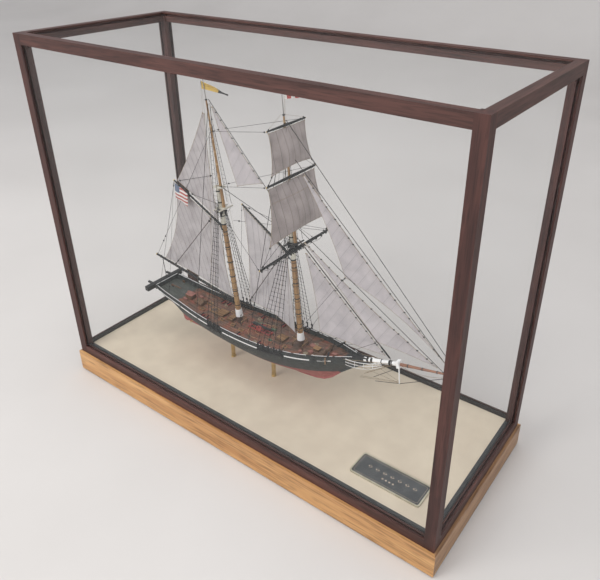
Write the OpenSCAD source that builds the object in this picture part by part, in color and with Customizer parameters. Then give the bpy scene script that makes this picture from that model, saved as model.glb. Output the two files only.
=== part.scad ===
// Two-masted topsail schooner model on two brass pedestals, in a glazed case.
// Millimetres. +X is the bow, +Y is port, +Z is up; the origin is under the centre of the plinth.

/* [Cover] */
// Outer length of the glazed cover
cover_l = 700; // [660:5:860]
// Outer width of the glazed cover
cover_w = 276; // [240:2:340]
// Height of the glazed cover
cover_h = 543; // [520:1:660]
// Side of the square corner posts
post_w = 15; // [13:0.5:18]
// Height of the rails, top and bottom
rail_h = 15; // [13:0.5:20]
// Thickness of the bottom rails
bottom_rail_t = 8; // [7:0.5:10]
// Width of the top rails
top_rail_t = 12; // [10:0.5:13]
// Thickness of the glass
glass_t = 3; // [2:0.5:3]
// Distance from the outer faces to the glass
glass_inset = 2.5; // [2:0.1:3]
// Depth of the grooves that hold the glass
groove_d = 4; // [2:0.5:5]
// Clearance between the glass and its grooves
glass_gap = 0.1; // [0.05:0.05:0.3]
// Thickness of the black bead inside the bottom rails
bead_t = 1.5; // [1:0.1:2]

/* [Base] */
// How far the plinth stands out around the cover
plinth_ledge = 4; // [2:0.5:10]
// Height of the plinth, feet included
plinth_h = 40; // [30:1:60]
// Width of the plinth's mitred rails
plinth_rail_w = 32; // [26:1:44]
// Thickness of the panel inside the plinth
panel_t = 14; // [9:1:18]
// Height of the felt feet
foot_h = 2; // [1:0.5:4]
// Diameter of the felt feet
foot_d = 24; // [16:1:30]
// Thickness of the board that the cover locates on
board_t = 11; // [8:0.5:13]
// Clearance between the cover and the board
cover_gap = 0.6; // [0.4:0.1:1.5]
// Width of the dark border along the front of the board
border_w = 8; // [5:0.5:12]
// Width of the dark border at the bow end of the board
border_end_w = 6; // [3:0.5:12]
// Depth of the border's rebate
border_t = 1.5; // [1:0.1:2]

/* [Nameplate] */
// Length of the nameplate
plate_l = 108; // [80:1:130]
// Width of the nameplate
plate_w = 41; // [30:1:48]
// Thickness of the nameplate
plate_t = 2; // [1.5:0.1:3]
// Distance from the nameplate's centre to the cover's end
plate_end = 98; // [90:1:120]
// Distance from the nameplate's centre to the cover's front
plate_front = 60; // [50:1:62]

/* [Hull] */
// Height of the bulwarks above the deck
bulwark_h = 9; // [6:0.5:11]
// Thickness of the bulwarks
bulwark_t = 1.2; // [0.8:0.1:1.6]
// Width of the cap rail
cap_w = 3.2; // [2.4:0.1:4]
// Thickness of the cap rail
cap_t = 1.2; // [0.8:0.1:1.6]
// Thickness of the deck planking
deck_t = 1; // [0.6:0.1:1.6]
// Thickness of the keel, stem and sternpost
keel_w = 4; // [3:0.5:5]
// Height of the hull's bottom above the board
hull_lift = 36; // [30:1:50]
// Depth of the keel below the hull
keel_d = 3; // [2:0.5:5]

/* [Masts] */
// Diameter of the lower masts at the deck
mast_d = 9; // [7:0.5:10]
// Diameter of the lower masts at their heads
mast_head_d = 7; // [6:0.5:8]
// Diameter of the topmasts at their heels
topmast_d = 5; // [4:0.5:6]
// Diameter of the topmasts at their trucks
truck_d = 2.4; // [2:0.1:3]
// Rake of the foremast, in degrees
fore_rake = 4.7; // [2:0.1:6]
// Rake of the mainmast, in degrees
main_rake = 6.8; // [4:0.1:8]
// Height of the trucks above the board
truck_z = 447; // [420:1:455]
// Distance between the flagpoles' tips and the trucks
pole_h = 30; // [15:1:40]

/* [Spars] */
// Diameter of the main boom
boom_d = 5; // [4:0.5:6]
// Diameter of the gaffs
gaff_d = 4; // [3:0.5:5]
// Diameter of the lower yard
yard_d = 4.4; // [3:0.2:5]
// Half length of the lower yard
lower_yard_r = 80; // [60:1:90]
// Half length of the topsail yard
topsail_yard_r = 53.5; // [40:0.5:60]
// Half length of the topgallant yard
topgallant_yard_r = 41; // [30:0.5:46]
// Diameter of the bowsprit
bowsprit_d = 7.5; // [6:0.5:9]
// Diameter of the jib-boom
jib_boom_d = 4.6; // [3.5:0.1:5.5]

/* [Sails and lines] */
// Thickness of the sailcloth
sail_t = 0.8; // [0.5:0.1:1.2]
// Diameter of the stays
stay_d = 0.8; // [0.6:0.1:1.2]
// Diameter of the shrouds
shroud_d = 0.7; // [0.5:0.1:1]
// Diameter of the running lines
line_d = 0.5; // [0.4:0.1:0.8]
// Diameter of the ratlines
ratline_d = 0.35; // [0.3:0.05:0.5]
// Distance between ratlines
ratline_step = 7; // [5:0.5:12]
// Diameter of the deadeyes
deadeye_d = 3.4; // [2.8:0.2:4]

/* [Moving parts] */
// Diameter of the rudder stock
stock_d = 2.4; // [2:0.1:3]
// Running clearance around pins and stocks
pin_gap = 0.1; // [0.05:0.01:0.15]
// Length of the rudder blade, from its stock to its edge
rudder_l = 12; // [8:0.5:16]
// Length of the pivot gun's barrel
gun_l = 36; // [28:1:44]
// Diameter of the pivot gun's barrel at its breech
gun_d = 5.4; // [4:0.2:6]
// Diameter of the windlass barrel
windlass_d = 6; // [5:0.5:7]

/* [Hidden] */

walnut = [0.24, 0.13, 0.10];
oak = [0.66, 0.43, 0.24];
cream = [0.88, 0.83, 0.72];
pane = [0.85, 0.93, 0.95, 0.25];
black = [0.10, 0.10, 0.11];
brown = [0.50, 0.29, 0.13];
gold = [0.78, 0.62, 0.30];
canvas = [0.80, 0.77, 0.80];
red = [0.68, 0.20, 0.18];

eps = 0.01;
board_z = plinth_h + board_t;         // top of the board
cover_z = plinth_h;                   // underside of the cover
half_l = cover_l / 2;
half_w = cover_w / 2;
plinth_l = cover_l + 2 * plinth_ledge;
plinth_w = cover_w + 2 * plinth_ledge;
board_inset = bottom_rail_t + bead_t + cover_gap;
board_l = cover_l - 2 * board_inset;
board_w = cover_w - 2 * board_inset;
notch = post_w + cover_gap;

// ---- Hull form, in the ship's frame ----
// The ship's frame lies on the board when the hull is drawn_lift above it, and rises with hull_lift.
drawn_lift = 36;
ship_z = board_z + hull_lift - drawn_lift;
// Half breadth at the rail along the ship
BEAM = [[-264, 26], [-235, 29.5], [-200, 32], [-160, 36], [-110, 40.5], [-50, 42.5], [0, 41],
    [40, 36.5], [70, 31], [95, 24.5], [116, 17], [135, 9.5], [152, 4.2], [163, 2.4]];
// Height of the rail above the hull's bottom
SHEER = [[-264, 65.5], [-224, 59.8], [-160, 52.7], [-110, 51.3], [-50, 51.6], [0, 53.5],
    [40, 57.5], [70, 62], [95, 67], [116, 70.8], [135, 74.5], [163, 80]];
// Height of the hull's underside on the centreline above its lowest line
RISE = [[-264, 52], [-250, 42.5], [-235, 34], [-224, 27], [-216, 17], [-208, 5], [-204, 0.5],
    [-200, 0], [0, 0.3], [40, 2], [70, 6.5], [86, 11.5], [100, 22], [116, 39], [135, 56],
    [152, 69], [163, 77]];
// Sharpness of the sections: 1 is round, 3 is a deep V
SHARP = [[-264, 0.7], [-235, 1.1], [-224, 2], [-208, 2.6], [-160, 1.8], [-50, 1.25], [0, 1.35],
    [40, 1.7], [86, 2.3], [116, 2], [135, 1.7], [163, 1]];
STATIONS = [-264, -257, -250, -242, -235, -229, -224, -216, -208, -204, -200, -180, -160, -135,
    -110, -80, -50, -25, 0, 20, 40, 55, 70, 86, 93, 100, 108, 116, 126, 135, 144, 152, 163];
section_steps = 8;

function step_at(t, x, i = 0) = i >= len(t) - 2 || x < t[i + 1][0] ? i : step_at(t, x, i + 1);
function slope(t, i, j) = (t[j][1] - t[i][1]) / (t[j][0] - t[i][0]);
// Smooth curve through the points of a table
function curve(t, x) =
    let(i = step_at(t, x), last = len(t) - 1, w = t[i + 1][0] - t[i][0], u = (x - t[i][0]) / w,
        a = slope(t, max(i - 1, 0), i + 1) * w, b = slope(t, i, min(i + 2, last)) * w)
    t[i][1] * (2 * u * u * u - 3 * u * u + 1) + a * (u * u * u - 2 * u * u + u)
        + t[i + 1][1] * (3 * u * u - 2 * u * u * u) + b * (u * u * u - u * u);

function beam(x) = curve(BEAM, x);
function rail_z(x) = drawn_lift + curve(SHEER, x);
function bottom_z(x) = drawn_lift + lookup(x, RISE);
function side_h(x) = rail_z(x) - bottom_z(x);
function drop(x) = min(bulwark_h, 0.7 * side_h(x));      // rail to hull top
function angle_at(x, h) = acos(min(1, h / side_h(x)));   // section angle at h below the rail
function skin_y(x, t) = keel_w / 2 + (beam(x) - keel_w / 2) * pow(sin(t), curve(SHARP, x));
function skin_z(x, t) = rail_z(x) - side_h(x) * cos(t);
function deck_z(x) = rail_z(x) - drop(x) + deck_t;       // top of the deck planking

// ---- Places of the masts and spars, in the ship's frame ----
fore_x = 48.6;                         // foremast axis carried down to the board
main_x = -76.8;                        // mainmast axis carried down to the board
fore_trestle_z = 262;                  // crosstrees
fore_cap_z = 290;
main_trestle_z = 282;
main_cap_z = 318;
top_offset = mast_head_d / 2 + topmast_d / 2 + 0.6;
function fore_axis(z) = fore_x - z * tan(fore_rake);
function main_axis(z) = main_x - z * tan(main_rake);
function fore_top_axis(z) = fore_axis(z) + top_offset;
function main_top_axis(z) = main_axis(z) + top_offset;

module on_board() { translate([0, 0, board_z]) children(); }
module in_ship() { translate([0, 0, ship_z]) children(); }
module both_sides() { children(); mirror([0, 1, 0]) children(); }
module both_ends() { children(); mirror([1, 0, 0]) children(); }

// Round bar from a to b
module bar(a, b, d, d2 = undef, fn = 16) {
    v = b - a;
    l = norm(v);
    translate(a) rotate([0, acos(v.z / l), atan2(v.y, v.x)])
        cylinder(h = l, d1 = d, d2 = is_undef(d2) ? d : d2, $fn = fn);
}
module box_at(centre, size) { translate(centre) cube(size, center = true); }

// Solid through a list of rings with equal numbers of points
module loft(rings) {
    n = len(rings[0]);
    m = len(rings);
    polyhedron(points = [for (r = rings) each r],
        faces = concat([[for (i = [0 : n - 1]) i]],
            [for (j = [0 : m - 2], i = [0 : n - 1]) [j * n + i, (j + 1) * n + i, (j + 1) * n + (i + 1) % n]],
            [for (j = [0 : m - 2], i = [0 : n - 1]) [j * n + i, (j + 1) * n + (i + 1) % n, j * n + (i + 1) % n]],
            [[for (i = [n - 1 : -1 : 0]) (m - 1) * n + i]]));
}

// ---- Case ----
module mitred(l, w, h, t) {            // one rail of a mitred frame, its outer face on y = -w / 2
    linear_extrude(h) polygon([[-l / 2, -w / 2], [l / 2, -w / 2], [l / 2 - t, -w / 2 + t], [-l / 2 + t, -w / 2 + t]]);
}
module plinth_long_rails() {
    color(oak) both_sides() translate([0, 0, foot_h])
        mitred(plinth_l, plinth_w, plinth_h - foot_h, plinth_rail_w);
}
module plinth_end_rails() {
    color(oak) both_ends() translate([0, 0, foot_h]) rotate(90)
        mitred(plinth_w, plinth_l, plinth_h - foot_h, plinth_rail_w);
}
module plinth_panel() {
    color(oak) box_at([0, 0, plinth_h - panel_t / 2],
        [plinth_l - 2 * plinth_rail_w, plinth_w - 2 * plinth_rail_w, panel_t]);
}
module plinth_feet() {
    color(black) both_sides() both_ends()
        translate([plinth_l / 2 - foot_d, plinth_w / 2 - foot_d * 0.7, 0]) cylinder(h = foot_h, d = foot_d, $fn = 48);
}
module board_outline() {
    difference() {
        square([board_l, board_w], center = true);
        for (sx = [-1, 1], sy = [-1, 1]) translate([sx * half_l, sy * half_w]) square(2 * notch, center = true);
    }
}
// The pale panel stops short of the board's front and bow edges
module panel_outline() {
    intersection() {
        board_outline();
        translate([-board_l / 2, border_w - board_w / 2]) square([board_l - border_end_w, board_w - border_w]);
    }
}
module baseboard() {
    color(cream) translate([0, 0, plinth_h]) {
        linear_extrude(board_t - border_t) board_outline();
        translate([0, 0, board_t - border_t]) linear_extrude(border_t) panel_outline();
    }
}
module board_border() {
    color(black) translate([0, 0, board_z - border_t]) linear_extrude(border_t) difference() {
        board_outline();
        panel_outline();
    }
}
plate_corner = 4;
plate_edge = 2;
module rounded(l, w, r) {
    for (sx = [-1, 1], sy = [-1, 1]) translate([sx * (l / 2 - r), sy * (w / 2 - r)]) circle(r, $fn = 32);
    square([l - 2 * r, w], center = true);
    square([l, w - 2 * r], center = true);
}
module at_plate() { translate([half_l - plate_end, -half_w + plate_front, board_z]) children(); }
module nameplate() {
    color(black) at_plate() linear_extrude(plate_t)
        rounded(plate_l - 2 * plate_edge, plate_w - 2 * plate_edge, plate_corner - plate_edge / 2);
}
module nameplate_frame() {
    color(gold) at_plate() linear_extrude(plate_t + 0.4) difference() {
        rounded(plate_l, plate_w, plate_corner);
        rounded(plate_l - 2 * plate_edge, plate_w - 2 * plate_edge, plate_corner - plate_edge / 2);
    }
}

groove = glass_t + 2 * glass_gap;
groove_c = glass_inset + glass_t / 2;
pane_l = cover_l - 2 * post_w + 2 * groove_d - 2 * glass_gap;     // long panes, in the posts
pane_w = cover_w - 2 * post_w + 2 * groove_d - 2 * glass_gap;     // end panes, in the posts
pane_z0 = cover_z + rail_h - groove_d + glass_gap;
pane_z1 = cover_z + cover_h - rail_h + groove_d - glass_gap;
module cover_posts() {
    color(walnut) both_sides() both_ends() difference() {
        translate([half_l - post_w, half_w - post_w, cover_z]) cube([post_w, post_w, cover_h]);
        // grooves for the long pane and the end pane
        translate([half_l - post_w - eps, half_w - groove_c - groove / 2, pane_z0 - glass_gap])
            cube([groove_d + eps, groove, pane_z1 - pane_z0 + 2 * glass_gap]);
        translate([half_l - groove_c - groove / 2, half_w - post_w - eps, pane_z0 - glass_gap])
            cube([groove, groove_d + eps, pane_z1 - pane_z0 + 2 * glass_gap]);
        // rebate for the corner of the top pane
        translate([half_l - post_w - eps, half_w - post_w - eps, top_z - glass_gap])
            cube([groove_d + eps, groove_d + eps, groove]);
    }
}
top_z = cover_z + cover_h - glass_inset - glass_t;
module rail_pair(l, w) {               // top and bottom rails of one side, the outer face on y = -w / 2
    difference() {
        translate([-l / 2, -w / 2, cover_z]) cube([l, bottom_rail_t, rail_h]);
        translate([-l / 2 - eps, -w / 2 + groove_c - groove / 2, cover_z + rail_h - groove_d])
            cube([l + 2 * eps, groove, groove_d + eps]);
    }
    difference() {
        translate([-l / 2, -w / 2, cover_z + cover_h - rail_h]) cube([l, top_rail_t, rail_h]);
        translate([-l / 2 - eps, -w / 2 + groove_c - groove / 2, cover_z + cover_h - rail_h - eps])
            cube([l + 2 * eps, groove, groove_d + eps]);
        translate([-l / 2 - eps, -w / 2 + top_rail_t - groove_d, top_z - glass_gap])
            cube([l + 2 * eps, groove_d + eps, groove]);
    }
}
module cover_long_rails() { color(walnut) both_sides() rail_pair(cover_l - 2 * post_w, cover_w); }
module cover_end_rails() { color(walnut) both_ends() rotate(90) rail_pair(cover_w - 2 * post_w, cover_l); }
module glass_long_panes() {
    color(pane) both_sides() translate([-pane_l / 2, -half_w + glass_inset, pane_z0])
        cube([pane_l, glass_t, pane_z1 - pane_z0]);
}
module glass_end_panes() {
    color(pane) both_ends() translate([half_l - glass_inset - glass_t, -pane_w / 2, pane_z0])
        cube([glass_t, pane_w, pane_z1 - pane_z0]);
}
module glass_top() {
    inset = top_rail_t - groove_d + glass_gap;
    near = post_w + glass_gap;
    deep = near - groove_d;
    color(pane) translate([0, 0, top_z]) linear_extrude(glass_t) difference() {
        square([cover_l - 2 * inset, cover_w - 2 * inset], center = true);
        for (sx = [-1, 1], sy = [-1, 1]) translate([sx * half_l, sy * half_w]) {
            square([2 * near, 2 * deep], center = true);
            square([2 * deep, 2 * near], center = true);
        }
    }
}
module glazing_beads() {
    z = cover_z + board_t - 1;
    h = rail_h - board_t + 3;
    color(black) {
        both_sides() translate([-half_l + post_w, -half_w + bottom_rail_t, z])
            cube([cover_l - 2 * post_w, bead_t, h]);
        both_ends() translate([half_l - bottom_rail_t - bead_t, -half_w + post_w, z])
            cube([bead_t, cover_w - 2 * post_w, h]);
    }
}

// ---- Pedestals ----
pedestal_xs = [-109, -18];
pedestal_d = 7;
pedestal_foot_d = 9;
pedestal_grip = 2.5;                   // how far the cheeks reach up beside the keel
module pedestals() {
    top = hull_lift - keel_d;
    color(gold) on_board() for (x = pedestal_xs) translate([x, 0, 0]) difference() {
        union() {
            cylinder(h = top + pedestal_grip, d = pedestal_d, $fn = 48);
            cylinder(h = 1, d = pedestal_foot_d, $fn = 48);
        }
        translate([-pedestal_d, -keel_w / 2, top]) cube([2 * pedestal_d, keel_w, 2 * pedestal_grip]);
        // flutes down the faces
        for (a = [0 : 60 : 300]) rotate(a) translate([pedestal_d / 2 + 0.3, 0, 4])
            cylinder(h = top - 8, d = 1.8, $fn = 24);
    }
}

// ---- Hull ----
function hull_ring(x) =
    let(t1 = angle_at(x, drop(x)), n = section_steps,
        half = [for (i = [0 : n]) let(t = t1 * i / n) [x, skin_y(x, t), skin_z(x, t)]])
    concat(half, [for (i = [n : -1 : 0]) [x, -half[i].y, half[i].z]]);
module hull() {
    color(black) in_ship() difference() {
        loft([for (x = STATIONS) hull_ring(x)]);
        at_stock() cylinder(h = 80, d = stock_d + 2 * pin_gap, $fn = 32);
    }
}
// Side profile of the keel, stem and sternpost
module keel() {
    inner = [for (x = STATIONS) if (x >= -224) [x, bottom_z(x)]];
    outer = [[171, drawn_lift + 82], [171, drawn_lift + 77], [155, drawn_lift + 65.5], [137, drawn_lift + 52],
        [118.5, drawn_lift + 36], [102, drawn_lift + 18.5], [87, drawn_lift + 8], [70, drawn_lift + 3],
        [40, drawn_lift + 2 - keel_d], [0, drawn_lift - keel_d], [-160, drawn_lift - keel_d],
        [heel_x, drawn_lift - keel_d], [heel_x - 27.6 * tan(post_rake), drawn_lift + 24.6]];
    color(black) in_ship() translate([0, keel_w / 2, 0]) rotate([90, 0, 0]) linear_extrude(keel_w)
        polygon(concat(inner, [[163, drawn_lift + 82]], outer));
}
function inner_ring(x, z0, z1, w) =     // ring of a strip on the inside of the skin, port side
    let(ta = angle_at(x, rail_z(x) - z0), tb = angle_at(x, rail_z(x) - z1))
    [[x, skin_y(x, ta), z0], [x, skin_y(x, tb), z1], [x, skin_y(x, tb) - w, z1], [x, skin_y(x, ta) - w, z0]];
module strip(x0, x1, lo, hi, out, w, step = 12) {   // strip along the side, from lo to hi below the rail
    n = max(1, ceil((x1 - x0) / step));
    loft([for (i = [0 : n]) let(x = x0 + (x1 - x0) * i / n, r = inner_ring(x, rail_z(x) - lo, rail_z(x) - hi, w))
        [for (p = r) p + [0, out, 0]]]);
}
bow_end = 150;
stern_x = STATIONS[0];
module deck() {
    xs = [for (x = STATIONS) if (x <= bow_end) x];
    color(brown) in_ship() difference() {
        loft([for (x = xs) let(z = rail_z(x) - drop(x), y = skin_y(x, angle_at(x, drop(x))) - bulwark_t)
            [[x, y, z], [x, y, z + deck_t], [x, -y, z + deck_t], [x, -y, z]]]);
        at_stock() cylinder(h = 80, d = stock_d + 2 * pin_gap, $fn = 32);
    }
}
module bulwarks() {
    xs = [for (x = STATIONS) if (x <= bow_end) x];
    y0 = beam(stern_x) - bulwark_t - 0.3;
    color(black) in_ship() {
        both_sides() loft([for (x = xs) inner_ring(x, rail_z(x) - drop(x) , rail_z(x) - cap_t, bulwark_t)]);
        translate([stern_x, -y0, rail_z(stern_x) - drop(stern_x) + deck_t])
            cube([bulwark_t, 2 * y0, drop(stern_x) - cap_t - deck_t - 0.2]);
    }
}
module cap_rail() {
    xs = [for (x = STATIONS) if (x > stern_x + 6 && x <= bow_end) x];
    color(black) in_ship() {
        both_sides() loft([for (x = concat([stern_x], xs)) let(y = beam(x) + 0.6, z = rail_z(x))
            [[x, y, z - cap_t], [x, y, z], [x, y - cap_w, z], [x, y - cap_w, z - cap_t]]]);
        translate([stern_x - 2.4, -beam(stern_x) - 0.6, rail_z(stern_x) - cap_t])
            cube([2.4 + cap_w, 2 * beam(stern_x) + 1.2, cap_t]);
    }
}
// White lines on the sides: [start, end] along the ship
RAIL_LINES = [[-258, -124], [-95, -9], [0, 3], [6, 11], [15, 20], [24, 28], [33, 47], [52, 72], [84, 139]];
SIDE_LINES = [[-252, -198], [-195, -152], [-149, -124], [-89, -75], [-74, -11], [36, 78], [90, 110]];
module hull_stripes() {
    color("white") in_ship() both_sides() {
        for (s = RAIL_LINES) strip(s[0], s[1], cap_t + 1.2, cap_t + 0.1, 0.4, 0.4);
        for (s = SIDE_LINES) strip(s[0], s[1], 7.4, 5.6, 0.4, 0.4);
    }
}

// ---- Shroud places ----
fore_shroud_xs = [31, 21, 11, 1, -9];
main_shroud_xs = [-95, -103, -111, -119];
channel_w = 4;
channel_out = 2.6;
function shroud_y(x) = beam(x) + channel_out;
module channels() {
    for (xs = [fore_shroud_xs, main_shroud_xs]) {
        a = xs[len(xs) - 1] - 4;
        b = xs[0] + 4;
        color(black) in_ship() both_sides()
            loft([for (x = [a, (a + b) / 2, b]) let(y = beam(x) + 0.45, z = rail_z(x) - 4.6)
                [[x, y, z - 1.2], [x, y, z], [x, y + channel_w, z], [x, y + channel_w, z - 1.2]]]);
    }
}
beam_r = 40;                           // half length of the timber across the stern
beam_side = 8;                         // its thickness
module stern_beam() {
    z = rail_z(stern_x) - 3.6;
    color(black) in_ship() {
        box_at([stern_x - 6.4, 0, z], [beam_side, 2 * beam_r, beam_side]);
        both_sides() box_at([stern_x - 10.3 - 6.5, 21, z + 0.8], [13, 3, 3]);
    }
}
cat_x = 104;
module catheads() {
    color(black) in_ship() both_sides() {
        translate([cat_x, beam(cat_x) - 5, rail_z(cat_x) + 1.6]) rotate([0, -8, 62]) box_at([0, 0, 0], [14, 2.6, 2.6]);
    }
}

// ---- Rudder ----
post_rake = 31.8;
heel_x = -209;
stock_off = 2.2;                       // stock axis to the sternpost's face
blade_h = 31;
module at_stock() {                    // z runs up the stock
    translate([heel_x - stock_off, 0, drawn_lift - keel_d]) rotate([0, -post_rake, 0]) children();
}
tiller_lift = 2.1;                     // planking to the stock's top
stock_top_x = -248.6;                  // where the stock comes through the deck
stock_top = (deck_z(stock_top_x) + tiller_lift - drawn_lift + keel_d) / cos(post_rake);
module rudder() {
    color(black) in_ship() at_stock() {
        translate([0, 0, -3]) cylinder(h = stock_top + 3, d = stock_d, $fn = 32);
        translate([0, 1.2, 0]) rotate([90, 0, 0]) linear_extrude(2.4)
            polygon([[0, 0.6], [-rudder_l * 0.8, 3], [-rudder_l, 8], [-rudder_l * 0.55, blade_h - 5], [0, blade_h]]);
    }
}
module tiller() {
    color(brown) in_ship() at_stock() translate([0, 0, stock_top]) {
        cylinder(h = 3, d = stock_d + 2, $fn = 32);
        translate([0, 0, 2]) rotate([0, post_rake, 0]) translate([0.6, -0.8, -0.8]) cube([22, 1.6, 1.6]);
    }
}
module gudgeons() {
    out = keel_w / 2 + 0.8;
    color(gold) in_ship() at_stock() for (z = [-2, blade_h + 0.6]) translate([0, 0, z]) difference() {
        union() {
            cylinder(h = 1.6, r = stock_off, $fn = 32);
            translate([0, -out, 0]) cube([stock_off, 2 * out, 1.6]);
            both_sides() translate([stock_off - eps, keel_w / 2, 0]) cube([7, 0.8, 1.6]);
        }
        translate([0, 0, -1]) cylinder(h = 4, d = stock_d + 2 * pin_gap, $fn = 32);
    }
}

// ---- Masts ----
module on_fore() { in_ship() translate([fore_x, 0, 0]) rotate([0, -fore_rake, 0]) children(); }
module on_main() { in_ship() translate([main_x, 0, 0]) rotate([0, -main_rake, 0]) children(); }
mast_sink = 4;                         // how far the masts pass below the planking
fore_foot = deck_z(40) - mast_sink;
main_foot = deck_z(-86) - mast_sink;
module lower_mast(foot, cap) {
    translate([0, 0, foot]) cylinder(h = cap - foot, d1 = mast_d, d2 = mast_head_d, $fn = 48);
    translate([0, 0, foot + 34]) cylinder(h = 3, d = mast_d + 0.8, $fn = 48);
}
module top_mast(trestle) {
    translate([top_offset, 0, trestle]) {
        cylinder(h = truck_z - trestle, d1 = topmast_d, d2 = truck_d, $fn = 32);
        translate([0, 0, truck_z - trestle]) cylinder(h = pole_h, d1 = truck_d * 0.7, d2 = 0.9, $fn = 24);
    }
}
module fore_lower_mast() { color(brown) on_fore() lower_mast(fore_foot, fore_cap_z); }
module main_lower_mast() { color(brown) on_main() lower_mast(main_foot, main_cap_z); }
module fore_topmast() { color(brown) on_fore() top_mast(fore_trestle_z); }
module main_topmast() { color(brown) on_main() top_mast(main_trestle_z); }
cross_r = 15;                          // half length of the crosstrees
module caps(trestle, cap) {
    for (z = [trestle, cap - 2.4]) translate([-mast_head_d / 2 - 1.5, -4.5, z])
        cube([mast_head_d + topmast_d + 4.6, 9, 2.4]);
    for (x = [-3, top_offset + 2.4]) translate([x, -cross_r, trestle]) cube([2, 2 * cross_r, 1.6]);
}
module mast_caps() {
    color(black) {
        on_fore() caps(fore_trestle_z, fore_cap_z);
        on_main() caps(main_trestle_z, main_cap_z);
    }
}
collar_h = 13;
collar_lift = 17.5;                    // mast foot to collar
module collar(foot) {
    translate([0, 0, foot]) difference() {
        cylinder(h = collar_h, d1 = mast_d + 3, d2 = mast_d + 1.6, $fn = 48);
        translate([0, 0, -1]) cylinder(h = collar_h + 2, d = mast_d, $fn = 48);
    }
}
module mast_collars() {
    color("white") {
        on_fore() collar(fore_foot + collar_lift);
        on_main() collar(main_foot + collar_lift);
    }
}
// Bowsprit from its heel on the foredeck to the cap, and the jib-boom beyond it
bowsprit_a = [128, 0, 104];
bowsprit_b = [209, 0, 128];
cap_c = [212, 0, 129];
jib_boom_a = [214.6, 0, 129.4];
jib_boom_b = [301.5, 0, 148.3];
module bowsprit() { color("white") in_ship() bar(bowsprit_a, bowsprit_b, bowsprit_d, 6, 32); }
module jib_boom() { color(brown) in_ship() bar(jib_boom_a, jib_boom_b, jib_boom_d, 2.4, 32); }
module dolphin_striker() {
    color("white") in_ship() {
        translate(cap_c) rotate([0, -15, 0]) cube([5, 9, 10], center = true);
        bar([212.5, 0, 123.5], [215, 0, 96], 2.2, 1.4, 24);
    }
}
// Boom, gaffs and yards
boom_a = [-99, 0, 119];
boom_b = [-281, 0, 147.5];
main_gaff_a = [-111, 0, 249];
main_gaff_b = [-212, 0, 302.5];
fore_gaff_a = [21.5, 0, 241];
fore_gaff_b = [-66.2, 0, 298];
lower_yard_z = 253.7;
topsail_yard_z = 364;
topgallant_yard_z = 434;
lower_yard_x = fore_axis(lower_yard_z) + mast_d / 2 + yard_d / 2 + 0.3;
topsail_yard_x = fore_top_axis(topsail_yard_z) + topmast_d / 2 + 2;
topgallant_yard_x = fore_top_axis(topgallant_yard_z) + 3.3;
module main_boom() { color(black) in_ship() bar(boom_a, boom_b, boom_d, boom_d * 0.7, 24); }
module gaffs() {
    color(black) in_ship() {
        bar(main_gaff_a, main_gaff_b, gaff_d, gaff_d * 0.6, 24);
        bar(fore_gaff_a, fore_gaff_b, gaff_d, gaff_d * 0.6, 24);
    }
}
module yard(x, z, r, d) {
    both_sides() translate([x, 0, z]) rotate([-90, 0, 0]) cylinder(h = r, d1 = d, d2 = d * 0.5, $fn = 32);
}
module yards() {
    color(black) in_ship() {
        yard(lower_yard_x, lower_yard_z, lower_yard_r, yard_d);
        yard(topsail_yard_x, topsail_yard_z, topsail_yard_r, yard_d * 0.8);
        yard(topgallant_yard_x, topgallant_yard_z, topgallant_yard_r, yard_d * 0.6);
    }
}

// ---- Sails ----
// A sail hangs between four corners: foot from c[0] to c[1], head from c[3] to c[2].
// luff, leech and foot bend those edges; belly fills the cloth; thick is its thickness.
cells = 6;
function hump(u) = 4 * u * (1 - u);
function cloth(c, luff, leech, foot, belly, u, v) =
    (c[0] * (1 - u) + c[1] * u) * (1 - v) + (c[3] * (1 - u) + c[2] * u) * v
        + luff * hump(v) * (1 - u) + leech * hump(v) * u + foot * hump(u) * (1 - v)
        + belly * hump(u) * sin(30 + 150 * v);
module sail(c, luff = [0, 0, 0], leech = [0, 0, 0], foot = [0, 0, 0], belly = [0, 0, 0], thick = [0, sail_t, 0]) {
    n = cells + 1;
    half = [for (v = [0 : cells], u = [0 : cells]) cloth(c, luff, leech, foot, belly, u / cells, v / cells)];
    rim = concat([for (i = [0 : cells - 1]) i], [for (j = [0 : cells - 1]) j * n + cells],
        [for (i = [cells : -1 : 1]) cells * n + i], [for (j = [cells : -1 : 1]) j * n]);
    k = n * n;
    m = len(rim);
    polyhedron(points = concat([for (p = half) p - thick / 2], [for (p = half) p + thick / 2]),
        faces = concat(
            [for (j = [0 : cells - 1], i = [0 : cells - 1]) let(a = j * n + i) each [[a, a + 1, a + n + 1], [a, a + n + 1, a + n]]],
            [for (j = [0 : cells - 1], i = [0 : cells - 1]) let(a = k + j * n + i) each [[a, a + n + 1, a + 1], [a, a + n, a + n + 1]]],
            [for (i = [0 : m - 1]) let(a = rim[i], b = rim[(i + 1) % m]) each [[a, a + k, b + k], [a, b + k, b]]]));
}
cloth_belly = 5;                       // depth of the fore-and-aft sails, to port
module mainsail() {
    color(canvas) in_ship() sail([[-101, 0, 124], [-257, 0, 148], [-209, 0, 295.5], [-116.5, 0, 247]],
        leech = [14, 0, 0], luff = [-3, 0, 0], belly = [0, cloth_belly, 0]);
}
module main_gaff_topsail() {
    color(canvas) in_ship() sail([[-119, 0, 258], [-204, 0, 304], [-133, 0, 424], [-129.5, 0, 423]],
        luff = [-4, 0, 0], leech = [4, 0, 0], belly = [0, 3, 0]);
}
module main_staysail() {
    color(canvas) in_ship() sail([[-25, 0, 340.5], [-73, 0, 325], [-113, 0, 435.5], [-111.5, 0, 435.5]],
        luff = [-0.5, 0, -1], belly = [0, 3, 0]);
}
module foresail() {
    color(canvas) in_ship() sail([[30, 0, 106], [-63, 0, 131], [-64, 0, 293], [17, 0, 239.5]],
        leech = [5, 0, 0], foot = [0, 0, 5], belly = [0, cloth_belly, 0]);
}
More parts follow.
